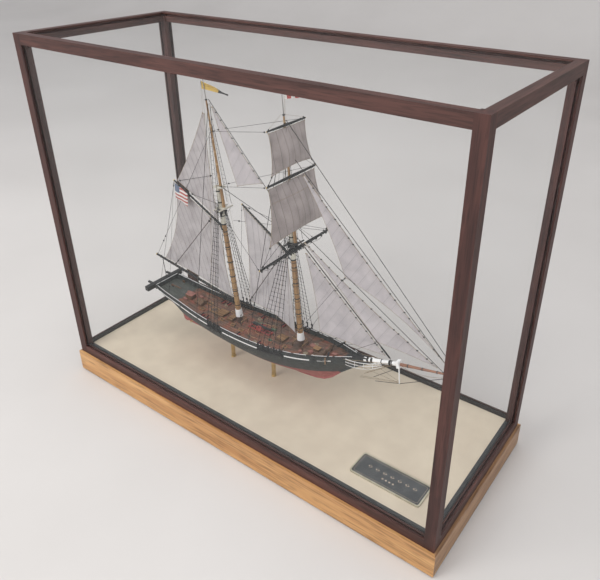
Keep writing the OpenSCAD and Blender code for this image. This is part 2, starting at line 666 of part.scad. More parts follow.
module fore_topsail() {
    color(canvas) in_ship() sail([[43, -66, 287], [43, 66, 287], [30, 50, 360], [30, -50, 360]],
        luff = [0, 5, 0], leech = [0, -5, 0], foot = [4, 0, 10], belly = [9, 0, 0], thick = [sail_t, 0, 0]);
}
module fore_topgallant() {
    color(canvas) in_ship() sail([[31, -43, 377], [31, 43, 377], [23.5, 38, 431], [23.5, -38, 431]],
        luff = [0, 3, 0], leech = [0, -3, 0], foot = [2, 0, 6], belly = [6, 0, 0], thick = [sail_t, 0, 0]);
}
module fore_staysail() {
    color(canvas) in_ship() sail([[189, 0, 134], [77, 0, 129], [52, 0, 252], [54, 0, 252]],
        foot = [0, 0, -3], leech = [3, 0, 0], belly = [0, 4, 0]);
}
module jib() {
    color(canvas) in_ship() sail([[268, 0, 149], [176, 0, 151], [50, 0, 268], [51.5, 0, 269]],
        luff = [-3, 0, -4], leech = [-2, 0, 5], belly = [0, 3, 0]);
}
module flying_jib() {
    color(canvas) in_ship() sail([[277, 0, 162], [120, 0, 236], [49, 0, 368], [51.5, 0, 369.5]],
        luff = [-3, 0, -3], leech = [4, 0, 2], foot = [4, 0, 6], belly = [0, 4, 0]);
}
module flags() {
    color("khaki") in_ship() {
        sail([[-130, 0, 459], [-82, 3, 455], [-82, 3, 457.5], [-131, 0, 470]], belly = [0, 3, 0], thick = [0, 0.5, 0]);
        sail([[20.5, 0, 467], [57, 2, 474], [57, 2, 477], [20.5, 0, 472]], belly = [0, 2, 0], thick = [0, 0.5, 0]);
        sail([[-209, -3, 275], [-174, -9, 270], [-172, -9, 292], [-208, -3, 299]], belly = [0, -2, 0], thick = [0, 0.5, 0]);
    }
}

// ---- Standing rigging ----
deadeye_gap = 6;
function lower_end(x) = [x, shroud_y(x), rail_z(x) + 9];
module shroud_set(xs, head) {
    for (i = [0 : len(xs) - 1]) bar(lower_end(xs[i]), head + [-1.4 * i, 0.4 * i, 1.2 * i], shroud_d, fn = 13);
}
fore_head = [fore_axis(266) + 1, mast_head_d / 2 + 2.2, 268];
main_head = [main_axis(286) + 1, mast_head_d / 2 + 2.2, 288];
top_head_off = 3.4;
module topmast_shrouds(axis_x, trestle, head_z) {
    for (i = [0 : 1]) bar([axis_x - 2 + 9 * i, cross_r - 1, trestle + 3],
        [axis_x + 3 * i - (head_z - trestle) * tan(fore_rake), top_head_off, head_z], shroud_d * 0.8, fn = 13);
}
module shrouds() {
    color(black) in_ship() both_sides() {
        shroud_set(fore_shroud_xs, fore_head);
        shroud_set(main_shroud_xs, main_head);
        topmast_shrouds(fore_top_axis(fore_trestle_z) - 5, fore_trestle_z, 400);
        topmast_shrouds(main_top_axis(main_trestle_z) - 5, main_trestle_z, 405);
    }
}
function at_height(a, b, z) = a + (b - a) * (z - a.z) / (b.z - a.z);
module ratline_set(xs, head, z1) {
    last = len(xs) - 1;
    for (z = [rail_z(xs[0]) + 16 : ratline_step : z1]) {
        a = at_height(lower_end(xs[0]), head, z);
        b = at_height(lower_end(xs[last]), head + [-1.4 * last, 0.4 * last, 1.2 * last], z);
        in = [0, -shroud_d, 0];
        bar(a + in, b + in, ratline_d, fn = 13);
    }
}
module ratlines() {
    color(black) in_ship() both_sides() {
        ratline_set(fore_shroud_xs, fore_head, 250);
        ratline_set(main_shroud_xs, main_head, 270);
    }
}
// Stays on the centreline: [from, to]
STAYS = [[[36, 0, 274], [199, 0, 131]], [[33, 0, 292], [279, 0, 144.5]], [[28, 0, 396], [292, 0, 148]],
    [[22, 0, 440], [299.5, 0, 150]], [[-118.5, 0, 446], [21, 0, 293]], [[-107, 0, 316], [17, 0, 276]],
    [[212, 0, 122], [173, 0, 88]], [[215, 0, 96], [176, 0, 82]], [[215.5, 0, 96], [296, 0, 145.5]]];
module stays() {
    color(black) in_ship() {
        for (s = STAYS) bar(s[0], s[1], stay_d, fn = 13);
        both_sides() {
            bar([-118, 1.8, 440], [-150, beam(-150) + 1, rail_z(-150)], stay_d, fn = 13);
            bar([20, 1.8, 436], [-30, beam(-30) + 1, rail_z(-30)], stay_d, fn = 13);
        }
    }
}
// Running lines, port and starboard alike: [from, to]
LINES = [[[lower_yard_x, 76, 256], [fore_top_axis(292) + 4, 4, 292]],
    [[lower_yard_x - 2, 78, 252], [-92, 6, 262]],
    [[topsail_yard_x - 2, 52, 363], [-106, 5, 318]],
    [[topgallant_yard_x - 2, topgallant_yard_r - 2, 433], [-117, 3, 400]],
    [[43, 66, 286], [lower_yard_x + 1, 74, 257]],
    [[31, 43, 376], [topsail_yard_x + 1, 51, 366]],
    [[-210, 2, 300], [-250, beam(-250), rail_z(-250)]],
    [[-62, 2, 130], [-80, 22, 84]],
    [[77, 2, 129], [60, beam(60) - 2, rail_z(60)]],
    [[176, 2, 151], [110, beam(110), rail_z(110)]],
    [[120, 2, 236], [30, beam(30) + 1, rail_z(30)]]];
module running_rigging() {
    color(black) in_ship() {
        both_sides() for (s = LINES) bar(s[0], s[1], line_d, fn = 13);
        bar([-105, 0, 285], [-180, 0, 288], line_d, fn = 13);
        bar([-124, 0, 330], [-206, 0, 302], line_d, fn = 13);
        bar([18, 0, 286], [-60, 0, 296], line_d, fn = 13);
        bar([-112, 0, 410], [-277, 0, 149.4], line_d, fn = 13);
        bar([-266, 0, 142.4], [-262, 0, rail_z(-262) + 1], line_d * 2, fn = 13);
    }
}
module deadeyes() {
    color(black) in_ship() both_sides() for (xs = [fore_shroud_xs, main_shroud_xs], x = xs)
        for (dz = [-1.5, 5]) translate([x, shroud_y(x) + 0.6, rail_z(x) + dz]) rotate([90, 0, 0])
            cylinder(h = 1.4, d = deadeye_d, $fn = 32);
}

// ---- Deck furniture ----
// Hatches and houses: [x, length, width, height]
HOUSES = [[-203, 14, 12, 7], [-178, 16, 16, 4.5], [-128, 18, 20, 4], [-104, 12, 18, 4], [2, 16, 16, 5], [72, 9, 9, 5]];
module hatches() {
    color(brown) in_ship() for (h = HOUSES) {
        z = deck_z(h[0]);
        box_at([h[0], 0, z + h[3] / 2 - 0.2], [h[1], h[2], h[3]]);
        box_at([h[0], 0, z + h[3]], [h[1] + 1.6, h[2] + 1.6, 1]);
    }
}

// ---- Pivot gun amidships ----
gun_x = -42;
gun_z = deck_z(gun_x) + 0.4;           // underside of the slide's foot
slide_l = 46;
slide_w = 10;
slide_foot_h = 1.5;
slide_bed_h = 2.6;
slide_top = gun_z + slide_foot_h + slide_bed_h;
trunnion_d = 1.6;
cheek_t = 1.4;
barrel_gap = 0.4;                      // barrel to cheeks
breech_gap = 0.5;                      // breech to slide at the highest elevation
breech_l = gun_l * 0.42;               // trunnions to the breech
gun_rise = 10;                         // highest elevation, in degrees
trunnion_z = slide_top + gun_d / 2 + breech_l * sin(gun_rise) + breech_gap;
module gun_slide() {
    cheek_y = gun_d / 2 + barrel_gap;
    color(red) in_ship() difference() {
        union() {
            translate([gun_x, 0, gun_z]) cylinder(h = slide_foot_h + 0.1, d = 9, $fn = 48);
            box_at([gun_x, 0, slide_top - slide_bed_h / 2], [slide_l, slide_w, slide_bed_h]);
            both_sides() translate([gun_x - 8, cheek_y, slide_top - 0.1])
                cube([16, cheek_t, trunnion_z + trunnion_d - slide_top]);
        }
        translate([gun_x, 0, gun_z - 1]) cylinder(h = 6, d = 2 + 2 * pin_gap, $fn = 32);
        translate([gun_x, -10, trunnion_z]) rotate([-90, 0, 0])
            cylinder(h = 20, d = trunnion_d + 2 * pin_gap, $fn = 32);
    }
}
module gun_barrel() {
    color(black) in_ship() translate([gun_x, 0, trunnion_z]) {
        translate([-breech_l, 0, 0]) rotate([0, 90, 0]) difference() {
            union() {
                cylinder(h = gun_l, d1 = gun_d, d2 = gun_d * 0.66, $fn = 48);
                cylinder(h = 1.6, d = gun_d + 0.2, $fn = 48);
                translate([0, 0, gun_l - 2]) cylinder(h = 2, d = gun_d * 0.8, $fn = 48);
            }
            translate([0, 0, gun_l - 14]) cylinder(h = 15, d = 1.8, $fn = 32);
        }
        translate([-breech_l - 1.6, 0, 0]) sphere(d = 2.6, $fn = 24);
        rotate([90, 0, 0]) cylinder(h = gun_d + 2 * barrel_gap + 2 * cheek_t, d = trunnion_d, center = true, $fn = 32);
    }
}
// ---- Windlass on the foredeck ----
windlass_x = 92;
windlass_z = deck_z(windlass_x) + 6;
bitt_y = 9;
windlass_pin_d = 2.4;
module windlass_barrel() {
    color(brown) in_ship() translate([windlass_x, 0, windlass_z]) rotate([90, 0, 0]) {
        cylinder(h = 2 * bitt_y - 2.4 - 0.6, d = windlass_d, center = true, $fn = 8);
        cylinder(h = 2 * bitt_y + 2.4, d = windlass_pin_d, center = true, $fn = 32);
    }
}
module windlass_bitts() {
    color(brown) in_ship() both_sides() difference() {
        box_at([windlass_x, bitt_y, windlass_z - 0.6], [4, 2.4, 12]);
        translate([windlass_x, bitt_y - 5, windlass_z]) rotate([-90, 0, 0])
            cylinder(h = 10, d = windlass_pin_d + 2 * pin_gap, $fn = 32);
    }
}

plinth_long_rails();
plinth_end_rails();
plinth_panel();
plinth_feet();
baseboard();
board_border();
nameplate();
nameplate_frame();
cover_posts();
cover_long_rails();
cover_end_rails();
glass_long_panes();
glass_end_panes();
glass_top();
glazing_beads();
pedestals();
hull();
keel();
deck();
bulwarks();
cap_rail();
hull_stripes();
channels();
stern_beam();
catheads();
rudder();
tiller();
gudgeons();
fore_lower_mast();
fore_topmast();
main_lower_mast();
main_topmast();
mast_caps();
mast_collars();
bowsprit();
jib_boom();
dolphin_striker();
main_boom();
gaffs();
yards();
mainsail();
main_gaff_topsail();
main_staysail();
foresail();
fore_topsail();
fore_topgallant();
fore_staysail();
jib();
flying_jib();
flags();
shrouds();
ratlines();
stays();
running_rigging();
deadeyes();
hatches();
gun_barrel();
gun_slide();
windlass_barrel();
windlass_bitts();
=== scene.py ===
"""A two-masted topsail schooner on brass pedestals in a glazed case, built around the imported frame."""
import math
import random
import bmesh
import bpy
from mathutils import Matrix, Vector


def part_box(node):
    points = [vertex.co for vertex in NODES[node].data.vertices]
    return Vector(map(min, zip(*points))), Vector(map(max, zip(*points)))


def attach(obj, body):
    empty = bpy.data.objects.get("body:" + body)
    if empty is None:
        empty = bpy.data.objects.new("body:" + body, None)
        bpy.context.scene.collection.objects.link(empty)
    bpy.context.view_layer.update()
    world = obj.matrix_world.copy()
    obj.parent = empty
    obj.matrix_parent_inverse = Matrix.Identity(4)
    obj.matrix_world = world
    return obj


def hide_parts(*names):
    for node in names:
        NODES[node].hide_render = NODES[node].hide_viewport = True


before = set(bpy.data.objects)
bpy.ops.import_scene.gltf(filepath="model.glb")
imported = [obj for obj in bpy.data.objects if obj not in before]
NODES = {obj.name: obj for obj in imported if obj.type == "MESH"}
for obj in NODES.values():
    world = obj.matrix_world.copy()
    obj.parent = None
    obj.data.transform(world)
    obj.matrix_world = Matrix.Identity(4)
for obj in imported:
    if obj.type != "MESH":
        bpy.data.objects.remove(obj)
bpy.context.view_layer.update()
MM = 0.001
SHIP = "base_and_ship"
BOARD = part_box("baseboard")[1][2]        # top of the board, where the ship's own heights start
CLOTH_T = 0.35                           # thickness of sails and flags, in mm
random.seed(7)


def at(x, y, z):
    """A point of the ship, given in mm from the middle of the board's top, in metres."""
    return Vector((x * MM, y * MM, BOARD + z * MM))


# ---------------------------------------------------------------- camera and light
def make_camera():
    """Looks down on the starboard bow."""
    azimuth, elevation, roll = math.radians(36.36), math.radians(28.69), math.radians(-0.13)
    place, lens = (0.5383, -0.6328, 0.7274), 38.15
    back = Vector((math.sin(azimuth) * math.cos(elevation), -math.cos(azimuth) * math.cos(elevation),
                   math.sin(elevation)))
    side = Vector((math.cos(azimuth), math.sin(azimuth), 0))
    up = back.cross(side)
    right = side * math.cos(roll) + up * math.sin(roll)
    top = up * math.cos(roll) - side * math.sin(roll)
    data = bpy.data.cameras.new("camera")
    data.sensor_width, data.lens = 36, lens
    data.shift_x, data.shift_y = -0.029, -0.0482
    data.clip_start, data.clip_end = 0.01, 50
    cam = bpy.data.objects.new("camera", data)
    bpy.context.collection.objects.link(cam)
    cam.matrix_world = Matrix((right, top, back)).transposed().to_4x4()
    cam.location = place
    bpy.context.scene.camera = cam


def area_light(name, place, target, size, power, colour=(1, 1, 1)):
    """A square lamp at a place, facing its target."""
    data = bpy.data.lights.new(name, "AREA")
    data.energy, data.size, data.color = power, size, colour
    lamp = bpy.data.objects.new(name, data)
    bpy.context.collection.objects.link(lamp)
    lamp.location = place
    lamp.rotation_euler = (Vector(place) - Vector(target)).to_track_quat("Z", "Y").to_euler()


def make_light():
    """Soft light from the front and above, with a pale sky all round."""
    middle = (0, 0, 0.25)                # of the case
    area_light("window", (-0.85, -2.0, 1.6), middle, 1.2, 27, (1.0, 0.985, 0.965))
    area_light("ceiling", (0.1, -0.5, 2.7), middle, 1.8, 23)
    area_light("fill", (2.2, -0.4, 1.2), middle, 1.4, 1.5, (0.97, 0.98, 1.0))
    world = bpy.data.worlds.new("studio")
    bpy.context.scene.world = world
    world.use_nodes = True
    shade = world.node_tree.nodes["Background"]
    shade.inputs["Color"].default_value = (0.93, 0.95, 1.0, 1)
    shade.inputs["Strength"].default_value = 0.75
    bpy.context.scene.view_settings.view_transform = "Standard"


make_camera()
make_light()


# ---------------------------------------------------------------- materials
class Look:
    """A material's Principled shader and the nodes that feed it."""

    def __init__(self, mat):
        self.mat = mat
        self.nodes, self.links = mat.node_tree.nodes, mat.node_tree.links
        self.shader = self.nodes["Principled BSDF"]

    def join(self, value, socket):
        """Links an output to a socket, or sets the socket to a number or a colour."""
        if hasattr(value, "links"):
            self.links.new(value, socket)
        else:
            socket.default_value = value if isinstance(value, (int, float)) else (*value, 1)

    def feed(self, output, socket="Base Color"):
        """Links an output to the shader."""
        self.links.new(output, self.shader.inputs[socket])

    def noise(self, scale, detail=6, stretch=(1, 1, 1), distortion=0.0, turn=(0, 0, 0)):
        """Noise in the object's own metres, stretched along its axes."""
        tex = self.nodes.new("ShaderNodeTexNoise")
        tex.inputs["Scale"].default_value = scale
        tex.inputs["Detail"].default_value = detail
        tex.inputs["Distortion"].default_value = distortion
        self.links.new(self.place(turn, stretch), tex.inputs["Vector"])
        return tex.outputs["Fac"]

    def place(self, turn=(0, 0, 0), stretch=(1, 1, 1)):
        """The object's own coordinates, in metres, turned and stretched."""
        mapping = self.nodes.new("ShaderNodeMapping")
        mapping.inputs["Scale"].default_value = stretch
        mapping.inputs["Rotation"].default_value = turn
        self.links.new(self.nodes.new("ShaderNodeTexCoord").outputs["Object"], mapping.inputs["Vector"])
        return mapping.outputs["Vector"]

    def axis(self, axis, turn=(0, 0, 0)):
        """One of the object's coordinates, in metres."""
        split = self.nodes.new("ShaderNodeSeparateXYZ")
        self.links.new(self.place(turn), split.inputs[0])
        return split.outputs[axis]

    def ramp(self, factor, stops):
        """A colour ramp over factor with (position, colour) stops."""
        node = self.nodes.new("ShaderNodeValToRGB")
        self.links.new(factor, node.inputs["Fac"])
        elements = node.color_ramp.elements
        elements.remove(elements[1])
        elements[0].position = stops[0][0]
        elements[0].color = (*stops[0][1], 1)
        for place, colour in stops[1:]:
            elements.new(place).color = (*colour, 1)
        return node.outputs["Color"]

    def mix(self, factor, a, b, blend="MIX"):
        """Colour a to colour b by factor, each a socket or a colour."""
        node = self.nodes.new("ShaderNodeMix")
        node.data_type, node.blend_type = "RGBA", blend
        for value, socket in ((factor, node.inputs[0]), (a, node.inputs[6]), (b, node.inputs[7])):
            self.join(value, socket)
        return node.outputs[2]

    def math(self, operation, *values):
        node = self.nodes.new("ShaderNodeMath")
        node.operation = operation
        for value, socket in zip(values, node.inputs):
            self.join(value, socket)
        return node.outputs[0]

    def bump(self, height, strength, distance):
        node = self.nodes.new("ShaderNodeBump")
        node.inputs["Strength"].default_value = strength
        node.inputs["Distance"].default_value = distance
        self.links.new(height, node.inputs["Height"])
        self.links.new(node.outputs["Normal"], self.shader.inputs["Normal"])

    def recolour(self, mask, colour):
        """Gives the material another colour where the mask is 1."""
        own = self.shader.inputs["Base Color"].links[0].from_socket
        self.feed(self.mix(mask, own, colour))


def principled(name, rough=0.5, metallic=0.0, **sockets):
    """A new Principled material."""
    mat = bpy.data.materials.new(name)
    mat.use_nodes = True
    look = Look(mat)
    look.shader.inputs["Roughness"].default_value = rough
    look.shader.inputs["Metallic"].default_value = metallic
    for key, value in sockets.items():
        look.shader.inputs[key.replace("_", " ")].default_value = value
    return look


def wood(name, dark, light, grain, rough=0.45, fine=1.0, coat=0.0, strength=0.25):
    """Long grain along one axis, with pores and a slow change of tone."""
    look = principled(name, rough, Coat_Weight=coat, Coat_Roughness=0.25)
    along = [60.0 * fine] * 3
    along["XYZ".index(grain)] = 3.5 * fine
    figure = look.noise(1.0, 9, along, 1.4)
    pores = look.noise(1.0, 4, [v * 7 for v in along])
    middle = [(a + b) / 2 for a, b in zip(dark, light)]
    tone = look.ramp(figure, [(0.3, dark), (0.5, middle), (0.68, light)])
    specks = look.ramp(pores, [(0.36, (0.45, 0.42, 0.4)), (0.5, (1, 1, 1))])
    look.feed(look.mix(0.7, tone, specks, "MULTIPLY"))
    look.bump(pores, strength, 0.0002)
    return look.mat


def paint(name, colour, worn, rough=0.45, scale=220, strength=0.15, metallic=0.0, **more):
    """Paint, metal or thread with uneven tone, gloss and a fine surface."""
    look = principled(name, rough, metallic, **more)
    patch = look.noise(scale, 5)
    look.feed(look.ramp(patch, [(0.35, colour), (0.66, worn)]))
    gloss = look.ramp(patch, [(0.3, (rough * 0.8,) * 3), (0.7, (min(1, rough * 1.25),) * 3)])
    look.feed(gloss, "Roughness")
    look.bump(look.noise(scale * 9, 3), strength, 0.0001)
    return look.mat


def thread(name, colour, worn):
    """Laid cord: fine diagonal strands."""
    look = principled(name, 0.85)
    patch = look.noise(400, 3)
    look.feed(look.ramp(patch, [(0.35, colour), (0.65, worn)]))
    look.bump(look.noise(1.0, 2, (3500, 3500, 1800), 0, (0.6, 0.5, 0)), 0.5, 0.0002)
    return look.mat


def sailcloth(name, colour, shade, seam_turn=0.0, seam_axis=0, spacing=0.0105, seam_dark=0.5):
    """Fine weave, sewn seams between narrow cloths, faint stains and folds, with painted shade in the fold
    hollows.
    """
    look = principled(name, 0.9, Sheen_Weight=0.25)
    across = look.axis(seam_axis, (0, seam_turn, 0))
    cloths = look.math("FRACT", look.math("MULTIPLY", across, 1 / spacing))
    # One noise gives both the darker tone and the fold bump, so the dark tone is faint stains together with
    # painted shade in the fold hollows.
    stain_and_fold_shade = look.noise(38, 7, distortion=0.6)
    tone = look.ramp(stain_and_fold_shade, [(0.3, shade), (0.62, colour)])
    seam = look.ramp(cloths, [(0.0, (seam_dark,) * 3), (0.05, (seam_dark + 0.1,) * 3), (0.08, (1, 1, 1)),
                              (0.16, (1, 1, 1)), (0.18, (0.84, 0.83, 0.83)), (0.22, (1, 1, 1))])
    weave = look.noise(1.0, 1, (2600, 2600, 900))
    woven = look.ramp(weave, [(0.3, (0.92, 0.92, 0.92)), (0.7, (1, 1, 1))])
    sewn = look.mix(1.0, tone, seam, "MULTIPLY")
    look.feed(look.mix(1.0, sewn, woven, "MULTIPLY"))
    height = look.math("ADD", weave, look.math("MULTIPLY", stain_and_fold_shade, 3.0))
    look.bump(height, 0.35, 0.0003)
    return look.mat


def banded(name, bands, axis, rough=0.75):
    """Cloth dyed in bands: (from, colour) along one axis, in metres of the object's frame."""
    look = principled(name, rough, Sheen_Weight=0.2)
    value = look.axis(axis)
    lo, hi = bands[0][0], bands[-1][0]
    scaled = look.math("DIVIDE", look.math("SUBTRACT", value, lo), hi - lo)
    colour = look.ramp(scaled, [((p - lo) / (hi - lo), c) for p, c in bands])
    colour.node.color_ramp.interpolation = "CONSTANT"
    woven = look.ramp(look.noise(1500, 2), [(0.3, (0.85, 0.85, 0.85)), (0.7, (1, 1, 1))])
    look.feed(look.mix(1.0, colour, woven, "MULTIPLY"))
    look.bump(look.noise(1500, 2), 0.3, 0.0002)
    return look.mat


OAK_X = wood("oak_long", (0.48, 0.235, 0.085), (0.70, 0.40, 0.165), "X", 0.5, 1.0, 0.1)
OAK_Y = wood("oak_end", (0.29, 0.15, 0.075), (0.46, 0.27, 0.135), "Y", 0.5, 1.0, 0.1)
WALNUT_X = wood("walnut_long", (0.042, 0.014, 0.010), (0.110, 0.042, 0.032), "X", 0.6, 1.4, 0.03)
WALNUT_Y = wood("walnut_end", (0.040, 0.016, 0.012), (0.105, 0.044, 0.034), "Y", 0.6, 1.4, 0.03)
WALNUT_Z = wood("walnut_post", (0.034, 0.010, 0.008), (0.092, 0.032, 0.024), "Z", 0.6, 1.4, 0.03)
BOARD_PAINT = paint("board_paint", (0.60, 0.51, 0.39), (0.66, 0.57, 0.44), 0.8, 30, 0.25)
BORDER = paint("border_paint", (0.030, 0.033, 0.034), (0.055, 0.058, 0.058), 0.5, 90)
BEAD = paint("bead_black", (0.010, 0.010, 0.011), (0.024, 0.022, 0.022), 0.4, 120)
FELT = paint("felt", (0.02, 0.018, 0.018), (0.05, 0.045, 0.045), 0.95, 900, 0.8)
BRASS = paint("brass", (0.50, 0.36, 0.15), (0.66, 0.52, 0.27), 0.30, 160, 0.1, 1.0)
PLATE_EDGE = paint("plate_edge", (0.42, 0.38, 0.27), (0.55, 0.51, 0.40), 0.5, 160, 0.1, 0.3)
PLATE_GILT = paint("plate_gilt", (0.46, 0.36, 0.27), (0.62, 0.50, 0.38), 0.5, 160, 0.1, 0.1)
PLATE = paint("plate_enamel", (0.035, 0.038, 0.040), (0.07, 0.075, 0.078), 0.33, 60, 0.1, Coat_Weight=0.3)
BLACK = paint("black_stain", (0.006, 0.0055, 0.006), (0.020, 0.018, 0.019), 0.6, 260)
IRON = paint("gun_iron", (0.018, 0.018, 0.020), (0.05, 0.048, 0.046), 0.38, 300, 0.3, 0.6)
WHITE = paint("white_paint", (0.86, 0.85, 0.83), (0.92, 0.91, 0.89), 0.5, 160)
CREAM = paint("mast_cream", (0.55, 0.52, 0.43), (0.74, 0.71, 0.61), 0.5, 200)
RED = paint("red_paint", (0.30, 0.045, 0.040), (0.46, 0.10, 0.085), 0.45, 240)
PINK = paint("aft_box_paint", (0.24, 0.09, 0.07), (0.36, 0.16, 0.12), 0.55, 180)
GREEN = paint("green_paint", (0.05, 0.11, 0.065), (0.10, 0.18, 0.11), 0.5, 240)
INNER = paint("bulwark_inner", (0.016, 0.017, 0.017), (0.045, 0.045, 0.042), 0.5, 240)
MAST = wood("mast_pine", (0.23, 0.11, 0.038), (0.50, 0.30, 0.125), "Z", 0.45, 5.0, 0.2)
TAN_WOOD = wood("topmast_band_wood", (0.42, 0.26, 0.12), (0.62, 0.42, 0.22), "Z", 0.45, 5.0, 0.2)
BOOM_PINE = wood("jib_boom_pine", (0.20, 0.075, 0.04), (0.38, 0.17, 0.09), "X", 0.45, 5.0, 0.2)
FITTING = wood("fitting_wood", (0.22, 0.11, 0.045), (0.50, 0.29, 0.13), "X", 0.5, 6.0, 0.1)
COAMING = wood("coaming_wood", (0.075, 0.038, 0.022), (0.20, 0.105, 0.055), "X", 0.5, 6.0, 0.1)
ROPE = thread("black_thread", (0.006, 0.005, 0.005), (0.020, 0.017, 0.017))
SERVED = thread("brown_thread", (0.035, 0.022, 0.017), (0.085, 0.060, 0.050))
TAN_ROPE = thread("tan_thread", (0.20, 0.15, 0.10), (0.40, 0.32, 0.22))
SAIL_A = sailcloth("sail_main", (0.50, 0.465, 0.465), (0.39, 0.355, 0.355), 0.30)
SAIL_B = sailcloth("sail_fore", (0.54, 0.505, 0.505), (0.43, 0.40, 0.405), 0.02)
SAIL_C = sailcloth("sail_head", (0.55, 0.51, 0.515), (0.43, 0.395, 0.405), -0.55, 0, 0.014, 0.74)
SAIL_SQ = sailcloth("sail_square", (0.45, 0.385, 0.365), (0.31, 0.262, 0.245), 0.0, 1, 0.012)


def glass_material():
    look = principled("pane_glass", 0.03, Alpha=0.036, IOR=1.52)
    look.shader.inputs["Specular IOR Level"].default_value = 1.0
    # The pale grey base colour is painted haze: it stands in for the panes' reflections and brightens what
    # shows through them, its tone varying slowly.
    painted_haze = look.noise(5, 2)
    look.feed(look.ramp(painted_haze, [(0.3, (0.40, 0.42, 0.41)), (0.7, (0.52, 0.54, 0.53))]))
    return look.mat


GLASS = glass_material()


def hull_material():
    """Black topsides over dull red, parted along a rising waterline."""
    look = principled("hull_paint", 0.62)
    x, z = look.axis(0), look.axis(2)
    line = look.math("MULTIPLY_ADD", x, -0.05, z)      # height less the waterline's rise
    along_x = look.math("MULTIPLY", look.math("ADD", x, 0.028), 1 / 0.125)
    belly = look.math("SUBTRACT", 1.0, look.math("MULTIPLY", along_x, along_x))
    dip = look.math("MULTIPLY", look.math("MAXIMUM", belly, 0.0), 0.012)
    level = BOARD + 0.0655
    above = look.math("GREATER_THAN", look.math("ADD", line, dip), level)
    patch = look.noise(130, 6)
    black = look.ramp(patch, [(0.35, (0.026, 0.030, 0.031)), (0.7, (0.044, 0.050, 0.051))])
    red = look.ramp(patch, [(0.35, (0.29, 0.075, 0.070)), (0.7, (0.40, 0.115, 0.105))])
    look.feed(look.mix(above, red, black))
    look.bump(look.noise(900, 3), 0.12, 0.0002)
    return look.mat


def deck_material():
    """Stained planks, with the after deck in dark grey-green."""
    look = principled("deck_planks", 0.6)
    tone = look.ramp(look.noise(1.0, 5, (30, 420, 60)),
                [(0.32, (0.085, 0.045, 0.034)), (0.5, (0.16, 0.085, 0.062)), (0.68, (0.24, 0.135, 0.095))])
    aft = look.ramp(look.noise(1.0, 5, (60, 300, 60)),
               [(0.35, (0.055, 0.060, 0.052)), (0.65, (0.095, 0.10, 0.088))])
    ahead = look.math("GREATER_THAN", look.axis(0), -0.214)
    worn = look.ramp(look.noise(55, 5, distortion=0.8),
                [(0.34, (0.62, 0.72, 0.66)), (0.46, (0.95, 0.95, 0.9)), (0.56, (1.35, 0.98, 0.78)),
                 (0.7, (1.5, 0.8, 0.7))])
    stained = look.mix(1.0, tone, worn, "MULTIPLY")
    look.feed(look.mix(ahead, aft, stained))
    look.bump(look.noise(1.0, 4, (200, 2500, 400)), 0.2, 0.0001)
    return look.mat


def parted(mat, axis, level, below):
    """Paints a material another colour below a level along one axis."""
    look = Look(mat)
    look.recolour(look.math("LESS_THAN", look.axis(axis), level), below)
    return mat


def pale_pole(mat, level):
    """Greys the flagpole above a topmast's truck."""
    look = Look(mat)
    look.recolour(look.math("GREATER_THAN", look.axis(2), level), (0.30, 0.28, 0.26))
    return mat


HULL_PAINT = hull_material()
DECK = deck_material()
FORE_FOOT = parted(MAST.copy(), 2, BOARD + 0.1005, (0.085, 0.045, 0.03))
MAIN_FOOT = parted(MAST.copy(), 2, BOARD + 0.0945, (0.085, 0.045, 0.03))
TOPMAST = pale_pole(wood("topmast_pine", (0.23, 0.11, 0.038), (0.50, 0.30, 0.125), "Z", 0.45, 5.0, 0.2),
                    BOARD + 0.4445)
CAPS = parted(paint("cap_black", (0.012, 0.011, 0.012), (0.035, 0.032, 0.033), 0.5, 260), 0, 0.0,
              (0.60, 0.57, 0.48))


def dress(node, mat):
    """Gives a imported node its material."""
    NODES[node].data.materials.clear()
    NODES[node].data.materials.append(mat)


CAD_LOOKS = {
    "plinth_long_rails": OAK_X, "plinth_end_rails": OAK_Y, "plinth_panel": OAK_X, "plinth_feet": FELT,
    "baseboard": BOARD_PAINT, "board_border": BORDER, "nameplate_frame": PLATE_EDGE, "nameplate": PLATE,
    "cover_posts": WALNUT_Z, "cover_long_rails": WALNUT_X, "cover_end_rails": WALNUT_Y,
    "glass_long_panes": GLASS, "glass_end_panes": GLASS, "glass_top": GLASS, "glazing_beads": BEAD,
    "pedestals": BRASS, "hull": HULL_PAINT, "keel": HULL_PAINT, "deck": DECK, "bulwarks": INNER,
    "cap_rail": BLACK, "hull_stripes": WHITE, "channels": BLACK, "stern_beam": BLACK, "catheads": BLACK,
    "rudder": HULL_PAINT, "tiller": COAMING, "gudgeons": BRASS, "fore_lower_mast": FORE_FOOT,
    "fore_topmast": TOPMAST, "main_lower_mast": MAIN_FOOT, "main_topmast": TOPMAST, "mast_caps": CAPS,
    "mast_collars": WHITE, "bowsprit": WHITE, "jib_boom": BOOM_PINE, "dolphin_striker": WHITE,
    "main_boom": BLACK, "gaffs": BLACK, "yards": BLACK, "shrouds": ROPE, "ratlines": ROPE, "stays": ROPE,
    "running_rigging": ROPE, "deadeyes": BLACK, "hatches": FITTING, "gun_barrel": IRON, "gun_slide": RED,
    "windlass_barrel": FITTING, "windlass_bitts": FITTING}
for node_name, look in CAD_LOOKS.items():
    dress(node_name, look)


def soften(node, width, segments):
    """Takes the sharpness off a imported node's edges with a bevel of this width, in mm."""
    edge = NODES[node].modifiers.new("edge", "BEVEL")
    edge.width, edge.segments, edge.limit_method, edge.angle_limit = width * MM, segments, "ANGLE", 0.6


